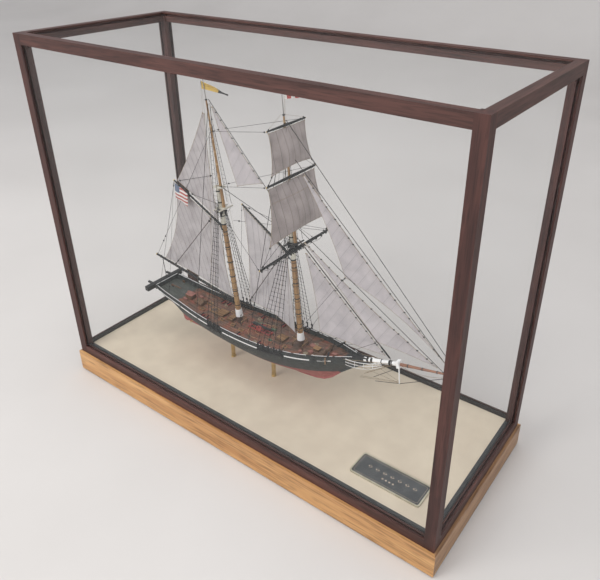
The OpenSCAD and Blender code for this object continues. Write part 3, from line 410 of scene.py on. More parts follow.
for node_name, width in (("plinth_long_rails", 1.2), ("plinth_end_rails", 1.2), ("cover_posts", 0.7),
                         ("cover_long_rails", 0.6), ("cover_end_rails", 0.6), ("baseboard", 0.4)):
    soften(node_name, width, 2)
for node_name in ("pedestals", "fore_lower_mast", "fore_topmast", "main_lower_mast", "main_topmast",
                  "bowsprit", "jib_boom", "main_boom", "gaffs", "yards", "shrouds", "ratlines", "stays",
                  "running_rigging", "mast_collars", "rudder"):
    soften(node_name, 0.12, 1)


# ---------------------------------------------------------------- mesh tools
def frame_of(direction):
    """Two unit vectors square to a direction."""
    d = direction.normalized()
    side = d.cross(Vector((0, 0, 1)) if abs(d.z) < 0.9 else Vector((1, 0, 0))).normalized()
    return side, d.cross(side).normalized()


def band(r, swell, length, edge=0.2):
    """The profile of a hoop or a roller: it swells from r over its bevelled edges."""
    return [(r, 0), (r + swell, edge), (r + swell, length - edge), (r, length)]


class Piece:
    """Gathers solids in the ship's mm and turns them into one object that rides on a body."""

    def __init__(self, name, mat, slot, body=SHIP, replaces=()):
        self.name, self.mat, self.slot, self.body, self.gone = name, mat, slot, body, replaces
        self.verts, self.faces = [], []

    def add(self, verts, faces):
        k = len(self.verts)
        self.verts += [Vector(v) for v in verts]
        self.faces += [[k + i for i in f] for f in faces]

    def box(self, centre, size, lean=0.0):
        """A block, leaned about Y."""
        spin = Matrix.Rotation(math.radians(lean), 3, "Y")
        c, half = Vector(centre), Vector(size) / 2
        verts = [c + spin @ Vector((sx * half.x, sy * half.y, sz * half.z))
                 for sz in (-1, 1) for sy in (-1, 1) for sx in (-1, 1)]
        self.add(verts, [(0, 2, 3, 1), (4, 5, 7, 6), (0, 1, 5, 4), (1, 3, 7, 5), (3, 2, 6, 7), (2, 0, 4, 6)])

    def loft(self, rings, closed=False):
        """Skin over rings of equal size; the ends are capped unless the loop closes."""
        n, m = len(rings[0]), len(rings)
        steps = range(m if closed else m - 1)
        faces = [[j * n + i, j * n + (i + 1) % n, (j + 1) % m * n + (i + 1) % n, (j + 1) % m * n + i]
                 for j in steps for i in range(n)]
        if not closed:
            faces += [list(range(n))[::-1], [(m - 1) * n + i for i in range(n)]]
        self.add([p for ring in rings for p in ring], faces)

    def turned(self, base, axis, profile, n=16):
        """A lathe shape: profile is (radius, distance along the axis) pairs."""
        side, other = frame_of(Vector(axis))
        base, d = Vector(base), Vector(axis).normalized()
        self.loft([[base + d * h + (side * math.cos(a) + other * math.sin(a)) * r
                    for a in (2 * math.pi * i / n for i in range(n))] for r, h in profile])

    def rod(self, a, b, r, r2=None, n=10):
        a, b = Vector(a), Vector(b)
        self.turned(a, b - a, [(r, 0), (r if r2 is None else r2, (b - a).length)], n)

    def ring(self, centre, axis, radius, r, n=20, m=8):
        side, other = frame_of(Vector(axis))
        c, d = Vector(centre), Vector(axis).normalized()
        rings = []
        for i in range(n):
            out = side * math.cos(2 * math.pi * i / n) + other * math.sin(2 * math.pi * i / n)
            rings.append([c + out * (radius + r * math.cos(t)) + d * r * math.sin(t)
                          for t in (2 * math.pi * j / m for j in range(m))])
        self.loft(rings, True)

    def tube(self, points, r, n=6, closed=False):
        """A round cord along points."""
        pts = [Vector(p) for p in points]
        side, rings = None, []
        for i, p in enumerate(pts):
            nxt = pts[(i + 1) % len(pts)] if closed or i < len(pts) - 1 else p
            prv = pts[i - 1] if closed or i else p
            d = (nxt - prv).normalized()
            side = frame_of(d)[0] if side is None else (side - d * side.dot(d)).normalized()
            other = d.cross(side)
            rings.append([p + (side * math.cos(a) + other * math.sin(a)) * r
                          for a in (2 * math.pi * j / n for j in range(n))])
        self.loft(rings, closed)

    def line(self, a, b, r, n=5, parts=6):
        """A taut round line from a to b."""
        a, b = Vector(a), Vector(b)
        self.tube([a.lerp(b, i / parts) for i in range(parts + 1)], r, n)

    def bead(self, centre, axis, r, length, n=10):
        """An egg-shaped block or ball, length along its axis."""
        profile = [(max(0.04, r * math.sin(a)), length / 2 * (1 - math.cos(a)))
                   for a in (math.pi * i / 6 for i in range(7))]
        self.turned(Vector(centre) - Vector(axis).normalized() * length / 2, axis, profile, n)

    def done(self, smooth=True, bevel=0.0):
        mesh = bpy.data.meshes.new(self.name)
        mesh.from_pydata([at(*v) for v in self.verts], [], self.faces)
        mesh.validate()
        mesh.update()
        obj = bpy.data.objects.new(self.name, mesh)
        bpy.context.collection.objects.link(obj)
        mesh.materials.append(self.mat)
        recalc(mesh)
        if smooth:
            mesh.shade_smooth()
            mesh.set_sharp_from_angle(angle=math.radians(38))
        if bevel:
            edge = obj.modifiers.new("edge", "BEVEL")
            edge.width, edge.segments, edge.limit_method = bevel * MM, 2, "ANGLE"
        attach(obj, self.body)
        if self.gone:
            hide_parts(*self.gone)
        return obj


def recalc(mesh):
    """Turns every closed shell's normals outward."""
    bm = bmesh.new()
    bm.from_mesh(mesh)
    bmesh.ops.recalc_face_normals(bm, faces=bm.faces)
    bm.to_mesh(mesh)
    bm.free()


# ---------------------------------------------------------------- the hull's form, in the ship's mm
# Against x from the stern to the bow: half breadth and height of the rail, height of the bottom, and
# how sharply each section closes on the keel.
BEAM = [(-264, 26), (-235, 29.5), (-200, 32), (-160, 36), (-110, 40.5), (-50, 42.5), (0, 41), (40, 36.5),
        (70, 31), (95, 24.5), (116, 17), (135, 9.5), (152, 4.2), (163, 2.4)]
SHEER = [(-264, 65.5), (-224, 59.8), (-160, 52.7), (-110, 51.3), (-50, 51.6), (0, 53.5), (40, 57.5),
         (70, 62), (95, 67), (116, 70.8), (135, 74.5), (163, 80)]
RISE = [(-264, 52), (-250, 42.5), (-235, 34), (-224, 27), (-216, 17), (-208, 5), (-204, 0.5), (-200, 0),
        (0, 0.3), (40, 2), (70, 6.5), (86, 11.5), (100, 22), (116, 39), (135, 56), (152, 69), (163, 77)]
SHARP = [(-264, 0.7), (-235, 1.1), (-224, 2), (-208, 2.6), (-160, 1.8), (-50, 1.25), (0, 1.35), (40, 1.7),
         (86, 2.3), (116, 2), (135, 1.7), (163, 1)]
HULL_LIFT, BULWARK_H, BULWARK_T, DECK_T = 36, 9, 1.2, 1    # height over the board, sides, deck
STERN_X, BOW_X, BOW_END = -264, 163, 150


def step_at(table, x):
    i = 0
    while i < len(table) - 2 and x >= table[i + 1][0]:
        i += 1
    return i


def curve(table, x):
    """Smooth curve through a table's points."""
    i, last = step_at(table, x), len(table) - 1
    w = table[i + 1][0] - table[i][0]
    u = (x - table[i][0]) / w

    def slope(a, b):
        return (table[b][1] - table[a][1]) / (table[b][0] - table[a][0]) * w
    a, b = slope(max(i - 1, 0), i + 1), slope(i, min(i + 2, last))
    return (table[i][1] * (2 * u ** 3 - 3 * u * u + 1) + a * (u ** 3 - 2 * u * u + u)
            + table[i + 1][1] * (3 * u * u - 2 * u ** 3) + b * (u ** 3 - u * u))


def lookup(table, x):
    i = step_at(table, x)
    (x0, y0), (x1, y1) = table[i], table[i + 1]
    return y0 + (y1 - y0) * min(1, max(0, (x - x0) / (x1 - x0)))


def beam(x):
    return curve(BEAM, x)


def rail_z(x):
    return HULL_LIFT + curve(SHEER, x)


def side_h(x):
    return rail_z(x) - HULL_LIFT - lookup(RISE, x)


def drop(x):
    return min(BULWARK_H, 0.7 * side_h(x))


def deck_z(x):
    return rail_z(x) - drop(x) + DECK_T


def skin(x, h, out=0.0):
    """The hull's half breadth at a height below the rail, plus out."""
    t = math.acos(min(1, h / side_h(x)))
    return 2 + (beam(x) - 2) * max(0.0, math.sin(t)) ** curve(SHARP, x) + out


def steps(a, b, n):
    """n + 1 even steps from a to b."""
    return [a + (b - a) * i / n for i in range(n + 1)]


def hump(u):
    """Rises from 0 at u = 0 to 1 in the middle, and falls to 0 at u = 1."""
    return 4 * u * (1 - u)


HULL_STATIONS = steps(STERN_X, -224, 16) + steps(-222, 120, 90) + steps(122, BOW_X, 18)
DECK_STATIONS = steps(STERN_X, BOW_END, 150)


def make_hull():
    hull = Piece("hull_shell", HULL_PAINT, "hull_paint", replaces=("hull",))
    rings = []
    for x in HULL_STATIONS:
        top = math.acos(min(1, drop(x) / side_h(x)))
        half = [(2 + (beam(x) - 2) * math.sin(t) ** curve(SHARP, x), rail_z(x) - side_h(x) * math.cos(t))
                for t in steps(0.001, top, 22)]
        rings.append([(x, y, z) for y, z in reversed(half)] + [(x, -y, z) for y, z in half])
    hull.loft(rings)
    hull.done()


def make_bulwarks():
    """The planked sides above the deck, with timberheads inside and a moulded strake outside."""
    wall = Piece("bulwark_shell", HULL_PAINT, "hull_paint", replaces=("bulwarks",))
    inside = Piece("timberheads", INNER, "hull_paint")
    for side in (1, -1):
        rings = []
        for x in DECK_STATIONS:
            z, d = rail_z(x), drop(x)
            heights = (d, d * 0.66, d * 0.33, 0)
            outer = [(x, side * skin(x, h), z - h) for h in heights]
            inner = [(x, side * max(0.2, skin(x, h) - BULWARK_T), z - h) for h in reversed(heights)]
            rings.append(outer + inner)
        wall.loft(rings)
        for x in range(-254, 140, 11):
            z, d = rail_z(x), drop(x)
            inside.box((x, side * (skin(x, d / 2) - BULWARK_T - 0.5), z - d / 2 + 0.4), (1.8, 1.4, d - 1.4))
        strake = [(x, side * skin(x, 9.6, 0.05), rail_z(x) - 9.6) for x in steps(-245, 140, 120)]
        wall.tube(strake, 0.4, 6)
    z = rail_z(STERN_X)
    wall.box((STERN_X - 0.2, 0, z - 4.5), (BULWARK_T, 2 * skin(STERN_X, 5), BULWARK_H))
    wall.done()
    inside.done(False, 0.15)


# Where the pale lines run, from and to, in x: on top of the rail, and lower on the side.
RAIL_LINES = [(-258, -124), (-95, -9), (0, 3), (6, 11), (15, 20), (24, 28), (33, 47), (52, 72), (84, 139)]
SIDE_LINES = [(-252, -198), (-195, -152), (-149, -124), (-89, -75), (-74, -11), (36, 78), (90, 110)]


def dash(a, b):
    """Stations about 3 mm apart along a painted dash."""
    return steps(a, b, max(2, int((b - a) / 3)))


def make_cap_rail():
    """The flat rail round the ship, rounded at the edges, and the pale lines along it and below."""
    rail = Piece("cap_rail_strip", BLACK, "hull_paint", replaces=("cap_rail",))
    inlay = Piece("hull_pale_lines", WHITE, "white_paint", replaces=("hull_stripes",))
    xs = steps(STERN_X, BOW_X, 130)
    path = [(x, max(beam(x), 1.5), rail_z(x)) for x in xs]
    loop = path + [(x, -y, z) for x, y, z in reversed(path)]
    section = (0.6, 0.25), (0.3, 0), (-2.6, 0), (-2.6, 1.0), (-2.4, 1.25), (0.35, 1.25), (0.6, 1.0)
    rings = [[(x, y + math.copysign(1, y) * out, z + h) for out, h in section] for x, y, z in loop]
    half = len(path)
    rail.loft(rings[:half])
    rail.loft(rings[half:])
    rail.box((STERN_X + 0.6, 0, rail_z(STERN_X) + 0.62), (3.2, 2 * beam(STERN_X) + 1.2, 1.25))
    for side in (1, -1):
        for a, b in RAIL_LINES:            # the pale line on top of the rail, broken amidships
            inlay.tube([(x, side * (beam(x) - 1.7), rail_z(x) + 1.15) for x in dash(a, b)], 0.5, 6)
        for a, b in SIDE_LINES:            # and the broken line lower on the side
            inlay.loft([[(x, side * (skin(x, h) + o), rail_z(x) - h) for h, o in
                         ((7.5, 0.45), (5.5, 0.45), (5.5, -0.3), (7.5, -0.3))] for x in dash(a, b)])
    inlay.rod((-262, -25, rail_z(-262) + 1.25), (-262, 25, rail_z(-262) + 1.25), 0.45)
    rail.done(False, 0.15)
    inlay.done()


def strip(x, y0, y1, low, high):
    """The section of a plank at x, from y0 to y1, between two heights over the deck."""
    z = deck_z(x)
    return [(x, y0, z + low), (x, y1, z + low), (x, y1, z + high), (x, y0, z + high)]


def make_deck():
    """Planks laid fore and aft, with fine gaps, inside a covering board."""
    planks = Piece("deck_planks", DECK, "deck_wood", replaces=("deck",))
    width, gap = 3.2, 0.22
    xs = steps(STERN_X + 1, BOW_END - 1, 110)
    count = int(42 / width) + 1
    for side in (1, -1):
        for j in range(count):
            lo, hi = j * width, (j + 1) * width - gap
            run = []
            for x in xs:
                edge = skin(x, drop(x)) - BULWARK_T - 1.6
                if edge > lo + 0.6:
                    run.append(strip(x, side * lo, side * min(hi, edge), -0.8, 0))
            if len(run) > 2:
                planks.loft(run)
        margins = []
        for x in xs:
            edge = skin(x, drop(x)) - BULWARK_T
            margins.append(strip(x, side * max(0.05, edge - 1.5), side * edge, -0.8, 0.25))
        planks.loft(margins)
    planks.loft([strip(x, 1.3 - skin(x, drop(x)), skin(x, drop(x)) - 1.3, -1.0, -0.5) for x in xs])
    planks.done(False)


make_hull()
make_bulwarks()
make_cap_rail()
make_deck()

# ---------------------------------------------------------------- masts and spars
TOP_OFFSET = 6.6                         # of a topmast, ahead of its lower mast
FORE = {"x": 48.6, "rake": math.radians(4.7), "trestle": 262, "cap": 290, "truck": 447, "foot": 81}
MAIN = {"x": -76.8, "rake": math.radians(6.8), "trestle": 282, "cap": 318, "truck": 447, "foot": 75}


def on_mast(mast, h, ahead=0.0, side=0.0):
    """A point at h along a mast's axis, ahead of it and to one side."""
    s, c = math.sin(mast["rake"]), math.cos(mast["rake"])
    return Vector((mast["x"] - h * s + ahead * c, side, h * c + ahead * s))


def up(mast):
    return Vector((-math.sin(mast["rake"]), 0, math.cos(mast["rake"])))


def lower_r(mast, h):
    foot, cap = mast["foot"], mast["cap"]
    return 4.5 - 1.0 * min(1, max(0, (h - foot) / (cap - foot)))


def top_r(mast, h):
    return 2.5 - 1.3 * (h - mast["trestle"]) / (mast["truck"] - mast["trestle"])


def make_mast_bands():
    """Hoops, wedges, doublings, trucks and cap ironwork."""
    dark = Piece("mast_hoops", BLACK, "black_spar")
    pale = Piece("mast_doublings", CREAM, "white_paint")
    light = Piece("topmast_bands", TAN_WOOD, "mast_wood")
    for mast in (FORE, MAIN):
        d = up(mast)
        for h in range(mast["foot"] + 38, mast["trestle"] - 12, 26):
            r = lower_r(mast, h)
            dark.turned(on_mast(mast, h), d, band(r, 0.35, 1.5), 24)
        lo, hi = mast["trestle"] - 26, mast["cap"] - 2.6
        pale.turned(on_mast(mast, lo), d,
                    [(lower_r(mast, lo) + 0.12, 0), (lower_r(mast, hi) + 0.12, hi - lo)], 24)
        for h in (mast["trestle"] - 27, mast["trestle"] - 5, mast["trestle"] + 9, mast["cap"] - 9):
            r = lower_r(mast, h)
            dark.turned(on_mast(mast, h), d, band(r, 0.5, 2.2), 24)
        for h in range(mast["cap"] + 14, mast["truck"] - 8, 19):
            r = top_r(mast, h)
            light.turned(on_mast(mast, h, TOP_OFFSET), d, band(r, 0.25, 2.8), 20)
        dark.turned(on_mast(mast, mast["truck"] - 1, TOP_OFFSET), d,
                    [(1.2, 0), (2.0, 0.4), (2.0, 1.4), (1.0, 2)], 20)
        for side in (1, -1):
            cheek = on_mast(mast, mast["trestle"] - 5, 1, side * 3.6)
            dark.loft([[cheek + Vector(p) for p in ((a, 0, h), (b, 0, h), (b, side, h), (a, side, h))]
                       for a, b, h in ((-3, 5, 4), (0, 2, -8))])
    for piece in (dark, pale, light):
        piece.done()


make_mast_bands()

# Each spar: its heel, its tip, and its radius at both.
BOOM = (Vector((-99, 0, 119)), Vector((-281, 0, 147.5)), 2.5, 1.75)
MAIN_GAFF = (Vector((-111, 0, 249)), Vector((-212, 0, 302.5)), 2.0, 1.2)
FORE_GAFF = (Vector((21.5, 0, 241)), Vector((-66.2, 0, 298)), 2.0, 1.2)
BOWSPRIT = (Vector((128, 0, 104)), Vector((209, 0, 128)), 3.75, 3.0)
JIB_BOOM = (Vector((214.6, 0, 129.4)), Vector((301.5, 0, 148.3)), 2.3, 1.2)
YARDS = [(34.4, 253.7, 80, 2.2), (29.8, 364, 53.5, 1.76), (23, 434, 41, 1.32)]  # x, z, half length, radius


def along(spar, t):
    return spar[0].lerp(spar[1], t), spar[2] + (spar[3] - spar[2]) * t


def make_spar_fittings():
    """Bands, jaws, stirrups, footropes and boom irons."""
    dark = Piece("spar_bands", BLACK, "black_spar")
    brass = Piece("spar_ferrules", BRASS, "brass")
    ropes = Piece("footropes", ROPE, "rigging")
    for spar, count in ((BOOM, 7), (MAIN_GAFF, 5), (FORE_GAFF, 5), (BOWSPRIT, 5), (JIB_BOOM, 4)):
        d = (spar[1] - spar[0]).normalized()
        for i in range(count):
            p, r = along(spar, (i + 0.5) / count)
            dark.turned(p, d, band(r, 0.35, 1.65, 0.15), 18)
        tip, r = along(spar, 0.992)
        brass.turned(tip, d, [(r, 0), (r + 0.25, 0.1), (r + 0.25, 1.2), (0.5, 1.7)], 18)
    for spar in (BOOM, MAIN_GAFF, FORE_GAFF):
        d = (spar[1] - spar[0]).normalized()
        for side in (1, -1):
            root = spar[0] + d * 2
            tip = root - d * 9 + Vector((0, side * 4.6, 0))
            jaw = (root, 1.2, 2.8, 1.6), (root - d * 5, 4.3, 5.6, 1.3), (tip, -0.1, 0.8, 0.8)
            dark.loft([[p + Vector((0, side * y, h)) for y, h in ((a, -c), (b, -c), (b, c), (a, c))]
                       for p, a, b, c in jaw])
    for x, z, half, r in YARDS:
        for side in (1, -1):
            for t in (0.12, 0.34, 0.56, 0.78, 0.95):
                rr = r * (1 - 0.5 * t)
                dark.turned((x, side * half * t, z), (0, side, 0), band(rr, 0.3, 1.2, 0.1))
            brass.turned((x, side * (half - 0.6), z), (0, side, 0),
                         [(r * 0.5, 0), (r * 0.62, 0.2), (r * 0.3, 1.2)])
            sag = half * 0.075
            line = [(x - 1.6, side * half * t, z - 1.5 - sag * hump(t) * (1.1 - 0.3 * math.cos(t * 12.5)))
                    for t in steps(0.04, 0.94, 30)]
            ropes.tube(line, 0.22, 5)
            for t in (0.3, 0.6):
                drop_to = z - 1.5 - sag * hump(t)
                ropes.tube([(x - 1.2, side * half * t, z), (x - 1.6, side * half * t, drop_to)], 0.18, 5)
            jackstay = [(x, side * half * t, z + r * (1 - 0.5 * t) + 0.35) for t in steps(0.03, 0.93, 12)]
            ropes.tube(jackstay, 0.2, 5)
    for side in (1, -1):                   # studding-sail boom irons on the lower yard
        for t in (0.62, 0.9):
            dark.ring((34.4 + 2.4, side * 80 * t, 255.0), (0, 1, 0), 1.3, 0.28, 16, 6)
        dark.rod((36.8, side * 46, 255), (36.8, side * 79, 255), 0.75, 0.55)
    sleeve, r = along(BOWSPRIT, 0)
    d = (BOWSPRIT[1] - BOWSPRIT[0]).normalized()
    dark.turned(sleeve - d * 0.3, d, [(r + 0.05, 0), (r + 0.15, 0.3), (r - 0.2, 30), (r - 0.6, 30.4)], 24)
    horse = Piece("bowsprit_horse", TAN_ROPE, "rigging")
    for side in (1, -1):
        horse.tube([(215 + 80 * t, side * (1.5 + 5 * hump(t)), 129 + 17.5 * t - 5 * hump(t))
                    for t in steps(0, 1, 24)], 0.25, 5)
    for piece in (dark, brass, ropes, horse):
        piece.done()


make_spar_fittings()


# ---------------------------------------------------------------- sails and flags
def cloth_point(corners, bends, u, v):
    """A point of the cloth: u runs from the luff to the leech, v from the foot to the head."""
    c = [Vector(p) for p in corners]
    bend = {key: Vector(bends.get(key, (0, 0, 0))) for key in ("luff", "leech", "foot", "belly")}
    return ((c[0] * (1 - u) + c[1] * u) * (1 - v) + (c[3] * (1 - u) + c[2] * u) * v
            + (bend["luff"] * (1 - u) + bend["leech"] * u) * hump(v) + bend["foot"] * hump(u) * (1 - v)
            + bend["belly"] * hump(u) * math.sin(math.radians(30 + 150 * v)))


def make_cloth(name, corners, bends, mat, slot, n=30, rope=0.32, reefs=(), creases=0.35,
               flat=None, wave=0.0):
    """One sheet with its bolt rope, reef bands and reef points."""
    seed = random.uniform(0, 6)
    grid = [[cloth_point(corners, bends, i / n, j / n) for i in range(n + 1)] for j in range(n + 1)]

    def normal(i, j):
        du = grid[j][min(n, i + 1)] - grid[j][max(0, i - 1)]
        dv = grid[min(n, j + 1)][i] - grid[max(0, j - 1)][i]
        return du.cross(dv).normalized()

    normals = [[normal(i, j) for i in range(n + 1)] for j in range(n + 1)]
    for j in range(n + 1):
        for i in range(n + 1):
            u, v = i / n, j / n
            ripple = math.sin(9 * u + 5 * v + seed) * math.sin(7 * v - 3 * u + 2 * seed)
            ripple += 0.5 * math.sin(23 * (u - 0.4 * v) + seed) * hump(v)
            swing = wave * math.sin(7.5 * u + seed) * u
            crease = creases * ripple * hump(u) * min(1, 4 * v * (1.05 - v))
            grid[j][i] = grid[j][i] + normals[j][i] * (crease + swing)
    half = CLOTH_T / 2
    piece = Piece(name, mat, slot, replaces=((name,) if name in NODES else ("flags",)))
    k = (n + 1) ** 2
    verts = [grid[j][i] - normals[j][i] * half for j in range(n + 1) for i in range(n + 1)]
    verts += [grid[j][i] + normals[j][i] * half for j in range(n + 1) for i in range(n + 1)]
    quads = [(j * (n + 1) + i, j * (n + 1) + i + 1, (j + 1) * (n + 1) + i + 1, (j + 1) * (n + 1) + i)
             for j in range(n) for i in range(n)]
    rim = (list(range(n)) + [j * (n + 1) + n for j in range(n)]
           + [n * (n + 1) + i for i in range(n, 0, -1)] + [j * (n + 1) for j in range(n, 0, -1)])
    faces = quads + [tuple(k + a for a in reversed(q)) for q in quads]
    faces += [(rim[m - 1], rim[m], rim[m] + k, rim[m - 1] + k) for m in range(len(rim))]
    piece.add(verts, faces)
    piece.name = name + "_cloth"
    cloth = piece.done()
    edge = [grid[r // (n + 1)][r % (n + 1)] for r in rim]
    if rope:
        bolt = Piece(name + "_bolt_rope", TAN_ROPE, "rigging")
        bolt.tube(edge, rope, 6, True)
        for r in (0, n, n * (n + 1) + n, n * (n + 1)):       # thimbles at the corners
            p = grid[r // (n + 1)][r % (n + 1)]
            bolt.ring(p, normals[r // (n + 1)][r % (n + 1)], 0.9, 0.25, 14, 6)
        bolt.done()
    if reefs:
        points = Piece(name + "_reef_points", TAN_ROPE, "rigging")
        for v in reefs:
            j = round(v * n)
            points.tube([grid[j][i] + normals[j][i] * 0.25 for i in range(n + 1)], 0.2, 5)
            for i in range(2, n - 1, 2):
                for s in (1, -1):
                    top = grid[j][i] + normals[j][i] * s * 0.4
                    sway = random.uniform(-0.6, 0.6)
                    points.tube([top, top + Vector((sway * 0.4, 0, -2.2)) + normals[j][i] * s * 0.15,
                                 top + Vector((sway, 0, -4.6))], 0.16, 5)
        points.done()
    if flat is None:
        flat = cut_size(edge)
    return grid


def cut_size(edge):
    """Width and length of the smallest rectangle along the outline's longest chord."""
    a, b = max(((p, q) for p in edge[::3] for q in edge[::3]), key=lambda pq: (pq[0] - pq[1]).length)
    d = (b - a).normalized()
    length = (b - a).length
    offs = [(p - a) - d * (p - a).dot(d) for p in edge]
    side = max(offs, key=lambda o: o.length).normalized()
    reach = [o.dot(side) for o in offs]
    return max(reach) - min(reach), length


# Name; corners: luff foot, leech foot, leech head, luff head; bends; material; slot; support; reef bands.
SAILS = [
    ("mainsail", ((-101, 0, 124), (-257, 0, 148), (-209, 0, 295.5), (-116.5, 0, 247)),
     {"luff": (-3, 0, 0), "leech": (14, 0, 0), "belly": (0, 5, 0)}, SAIL_A, "sailcloth", "main_boom",
     (0.16, 0.32)),
    ("main_gaff_topsail", ((-119, 0, 258), (-204, 0, 304), (-133, 0, 424), (-129.5, 0, 423)),
     {"luff": (-4, 0, 0), "leech": (4, 0, 0), "belly": (0, 3, 0)}, SAIL_A, "sailcloth", "gaffs", ()),
    ("main_staysail", ((-25, 0, 340.5), (-73, 0, 325), (-113, 0, 435.5), (-111.5, 0, 435.5)),
     {"luff": (-0.5, 0, -1), "belly": (0, 3, 0)}, SAIL_C, "sailcloth", "stays", ()),
    ("foresail", ((30, 0, 106), (-63, 0, 131), (-64, 0, 293), (17, 0, 239.5)),
     {"leech": (5, 0, 0), "foot": (0, 0, 5), "belly": (0, 5, 0)}, SAIL_B, "sailcloth", "gaffs",
     (0.16, 0.32)),
    ("fore_topsail", ((43, -66, 287), (43, 66, 287), (30, 50, 360), (30, -50, 360)),
     {"luff": (0, 5, 0), "leech": (0, -5, 0), "foot": (4, 0, 10), "belly": (9, 0, 0)}, SAIL_SQ,
     "square_sailcloth", "yards", (0.72,)),
    ("fore_topgallant", ((31, -43, 377), (31, 43, 377), (23.5, 38, 431), (23.5, -38, 431)),
     {"luff": (0, 3, 0), "leech": (0, -3, 0), "foot": (2, 0, 6), "belly": (6, 0, 0)}, SAIL_SQ,
     "square_sailcloth", "yards", ()),
    ("fore_staysail", ((189, 0, 134), (77, 0, 129), (52, 0, 252), (54, 0, 252)),
     {"foot": (0, 0, -3), "leech": (3, 0, 0), "belly": (0, 4, 0)}, SAIL_C, "sailcloth", "stays", ()),
    ("jib", ((268, 0, 149), (176, 0, 151), (50, 0, 268), (51.5, 0, 269)),
     {"luff": (-3, 0, -4), "leech": (-2, 0, 5), "belly": (0, 3, 0)}, SAIL_C, "sailcloth", "stays", ()),
    ("flying_jib", ((277, 0, 162), (120, 0, 236), (49, 0, 368), (51.5, 0, 369.5)),
     {"luff": (-3, 0, -3), "leech": (4, 0, 2), "foot": (4, 0, 6), "belly": (0, 4, 0)}, SAIL_C, "sailcloth",
     "stays", ())]
SAIL_GRIDS = {}
for sail_name, corners, bends, cloth_mat, cloth_slot, support, reefs in SAILS:
    SAIL_GRIDS[sail_name] = make_cloth(sail_name, corners, bends, cloth_mat, cloth_slot,
                                       reefs=reefs)


def make_sail_fastenings():
    """Mast hoops, lacings to the spars, and hanks on the stays."""
    hoops = Piece("mast_rings", BLACK, "black_spar")
    lacing = Piece("spar_lacings", TAN_ROPE, "rigging")
    hanks = Piece("stay_hanks", BLACK, "black_spar")
    for mast, lo, hi in ((MAIN, 132, 238), (FORE, 116, 232)):
        d = up(mast)
        for i in range(10):
            h = lo + (hi - lo) * i / 9
            r = lower_r(mast, h)
            hoops.ring(on_mast(mast, h, -0.6), d + Vector((0.12, 0, 0)), r + 1.0, 0.33, 24, 6)
    for spar in (MAIN_GAFF, BOOM, FORE_GAFF):
        d = (spar[1] - spar[0]).normalized()
        for i in range(16):
            p, r = along(spar, 0.1 + 0.84 * i / 15)
            hoops.ring(p, d + Vector((0.25, 0, 0.1)), r + 0.2, 0.34, 14, 5)
            lacing.ring(p + d * 1.2, d + Vector((0.25, 0, 0.1)), r + 0.2, 0.16, 14, 5)
    for x, z, half, r in YARDS:
        count = round(half / 3)
        for i in range(-count, count + 1):
            y = half * 0.93 * i / count
            rr = r * (1 - 0.5 * abs(i) / count) + 0.3
            hoops.ring((x, y, z), (0.1, 1, 0), rr, 0.45, 12, 5)
    for name, count in (("fore_staysail", 15), ("jib", 18), ("flying_jib", 20), ("main_staysail", 9)):
        grid = SAIL_GRIDS[name]
        n = len(grid) - 1
        for i in range(count):
            j = round(n * (i + 0.5) / count)
            p = grid[j][0]
            hanks.ring(p, (0, 0, 1), 1.1, 0.42, 12, 5)
            hanks.bead(p + Vector((0, 0, 0.2)), (0.6, 0, 1), 0.8, 1.3, 8)
    for piece in (hoops, lacing, hanks):
        piece.done()


make_sail_fastenings()

YELLOW, DARK_CLOTH, CANTON = (0.62, 0.42, 0.10), (0.02, 0.02, 0.02), (0.10, 0.13, 0.20)
STRIPE_RED, STRIPE_WHITE = (0.42, 0.07, 0.06), (0.7, 0.68, 0.64)
PENNANT = banded("pennant_cloth", [(-0.1305, DARK_CLOTH), (-0.130, YELLOW), (-0.102, DARK_CLOTH),
                                   (-0.080, DARK_CLOTH)], 0)
STREAMER = banded("streamer_cloth",
                  [(0.018 + 0.006 * i, (STRIPE_WHITE, STRIPE_RED)[i % 2]) for i in range(8)], 0)


def ensign_material():
    """Plain stripes with a dark corner: no nation's flag."""
    stripes = [(BOARD + 0.2625 + 0.0030 * i, (STRIPE_RED, STRIPE_WHITE)[i % 2]) for i in range(14)]
    look = Look(banded("ensign_cloth", stripes, 2))
    aft = look.math("LESS_THAN", look.axis(0), -0.1945)
    high = look.math("GREATER_THAN", look.axis(2), BOARD + 0.2865)
    look.recolour(look.math("MULTIPLY", aft, high), CANTON)
    return look.mat


def make_flags():
    for name, corners, belly, mat, support, creases, flat, wave in (
            ("pennant", ((-130, 0, 459), (-82, 3, 455), (-82, 3, 457.5), (-131, 0, 470)), 3, PENNANT,
             "main_topmast", 0.2, (15.0, 49.5), 1.2),
            ("streamer", ((20.5, 0, 467), (57, 2, 474), (57, 2, 477), (20.5, 0, 472)), 2, STREAMER,
             "fore_topmast", 0.15, (10.1, 37.5), 0.8),
            ("ensign", ((-209, -3, 275), (-174, -9, 270), (-172, -9, 292), (-208, -3, 299)), -2,
             ensign_material(), "main_gaff_topsail_bolt_rope", 0.3, (29.5, 37.5), 1.4)):
        make_cloth(name, corners, {"belly": (0, belly, 0)}, mat, "flag_cloth", 24, 0.0,
                   creases=creases, flat=flat, wave=wave)


make_flags()


# ---------------------------------------------------------------- rigging details
def block(piece, place, size=1.0, axis=(0, 0, 1)):
    """A wooden pulley block: an egg with a score round it."""
    piece.bead(place, axis, 1.15 * size, 3.4 * size)
    piece.ring(place, frame_of(Vector(axis))[0], 1.35 * size, 0.18 * size, 14, 5)


FORE_SHROUDS, MAIN_SHROUDS = (31, 21, 11, 1, -9), (-95, -103, -111, -119)
SHROUD_OUT = 2.6                         # of the shrouds, outside the rail


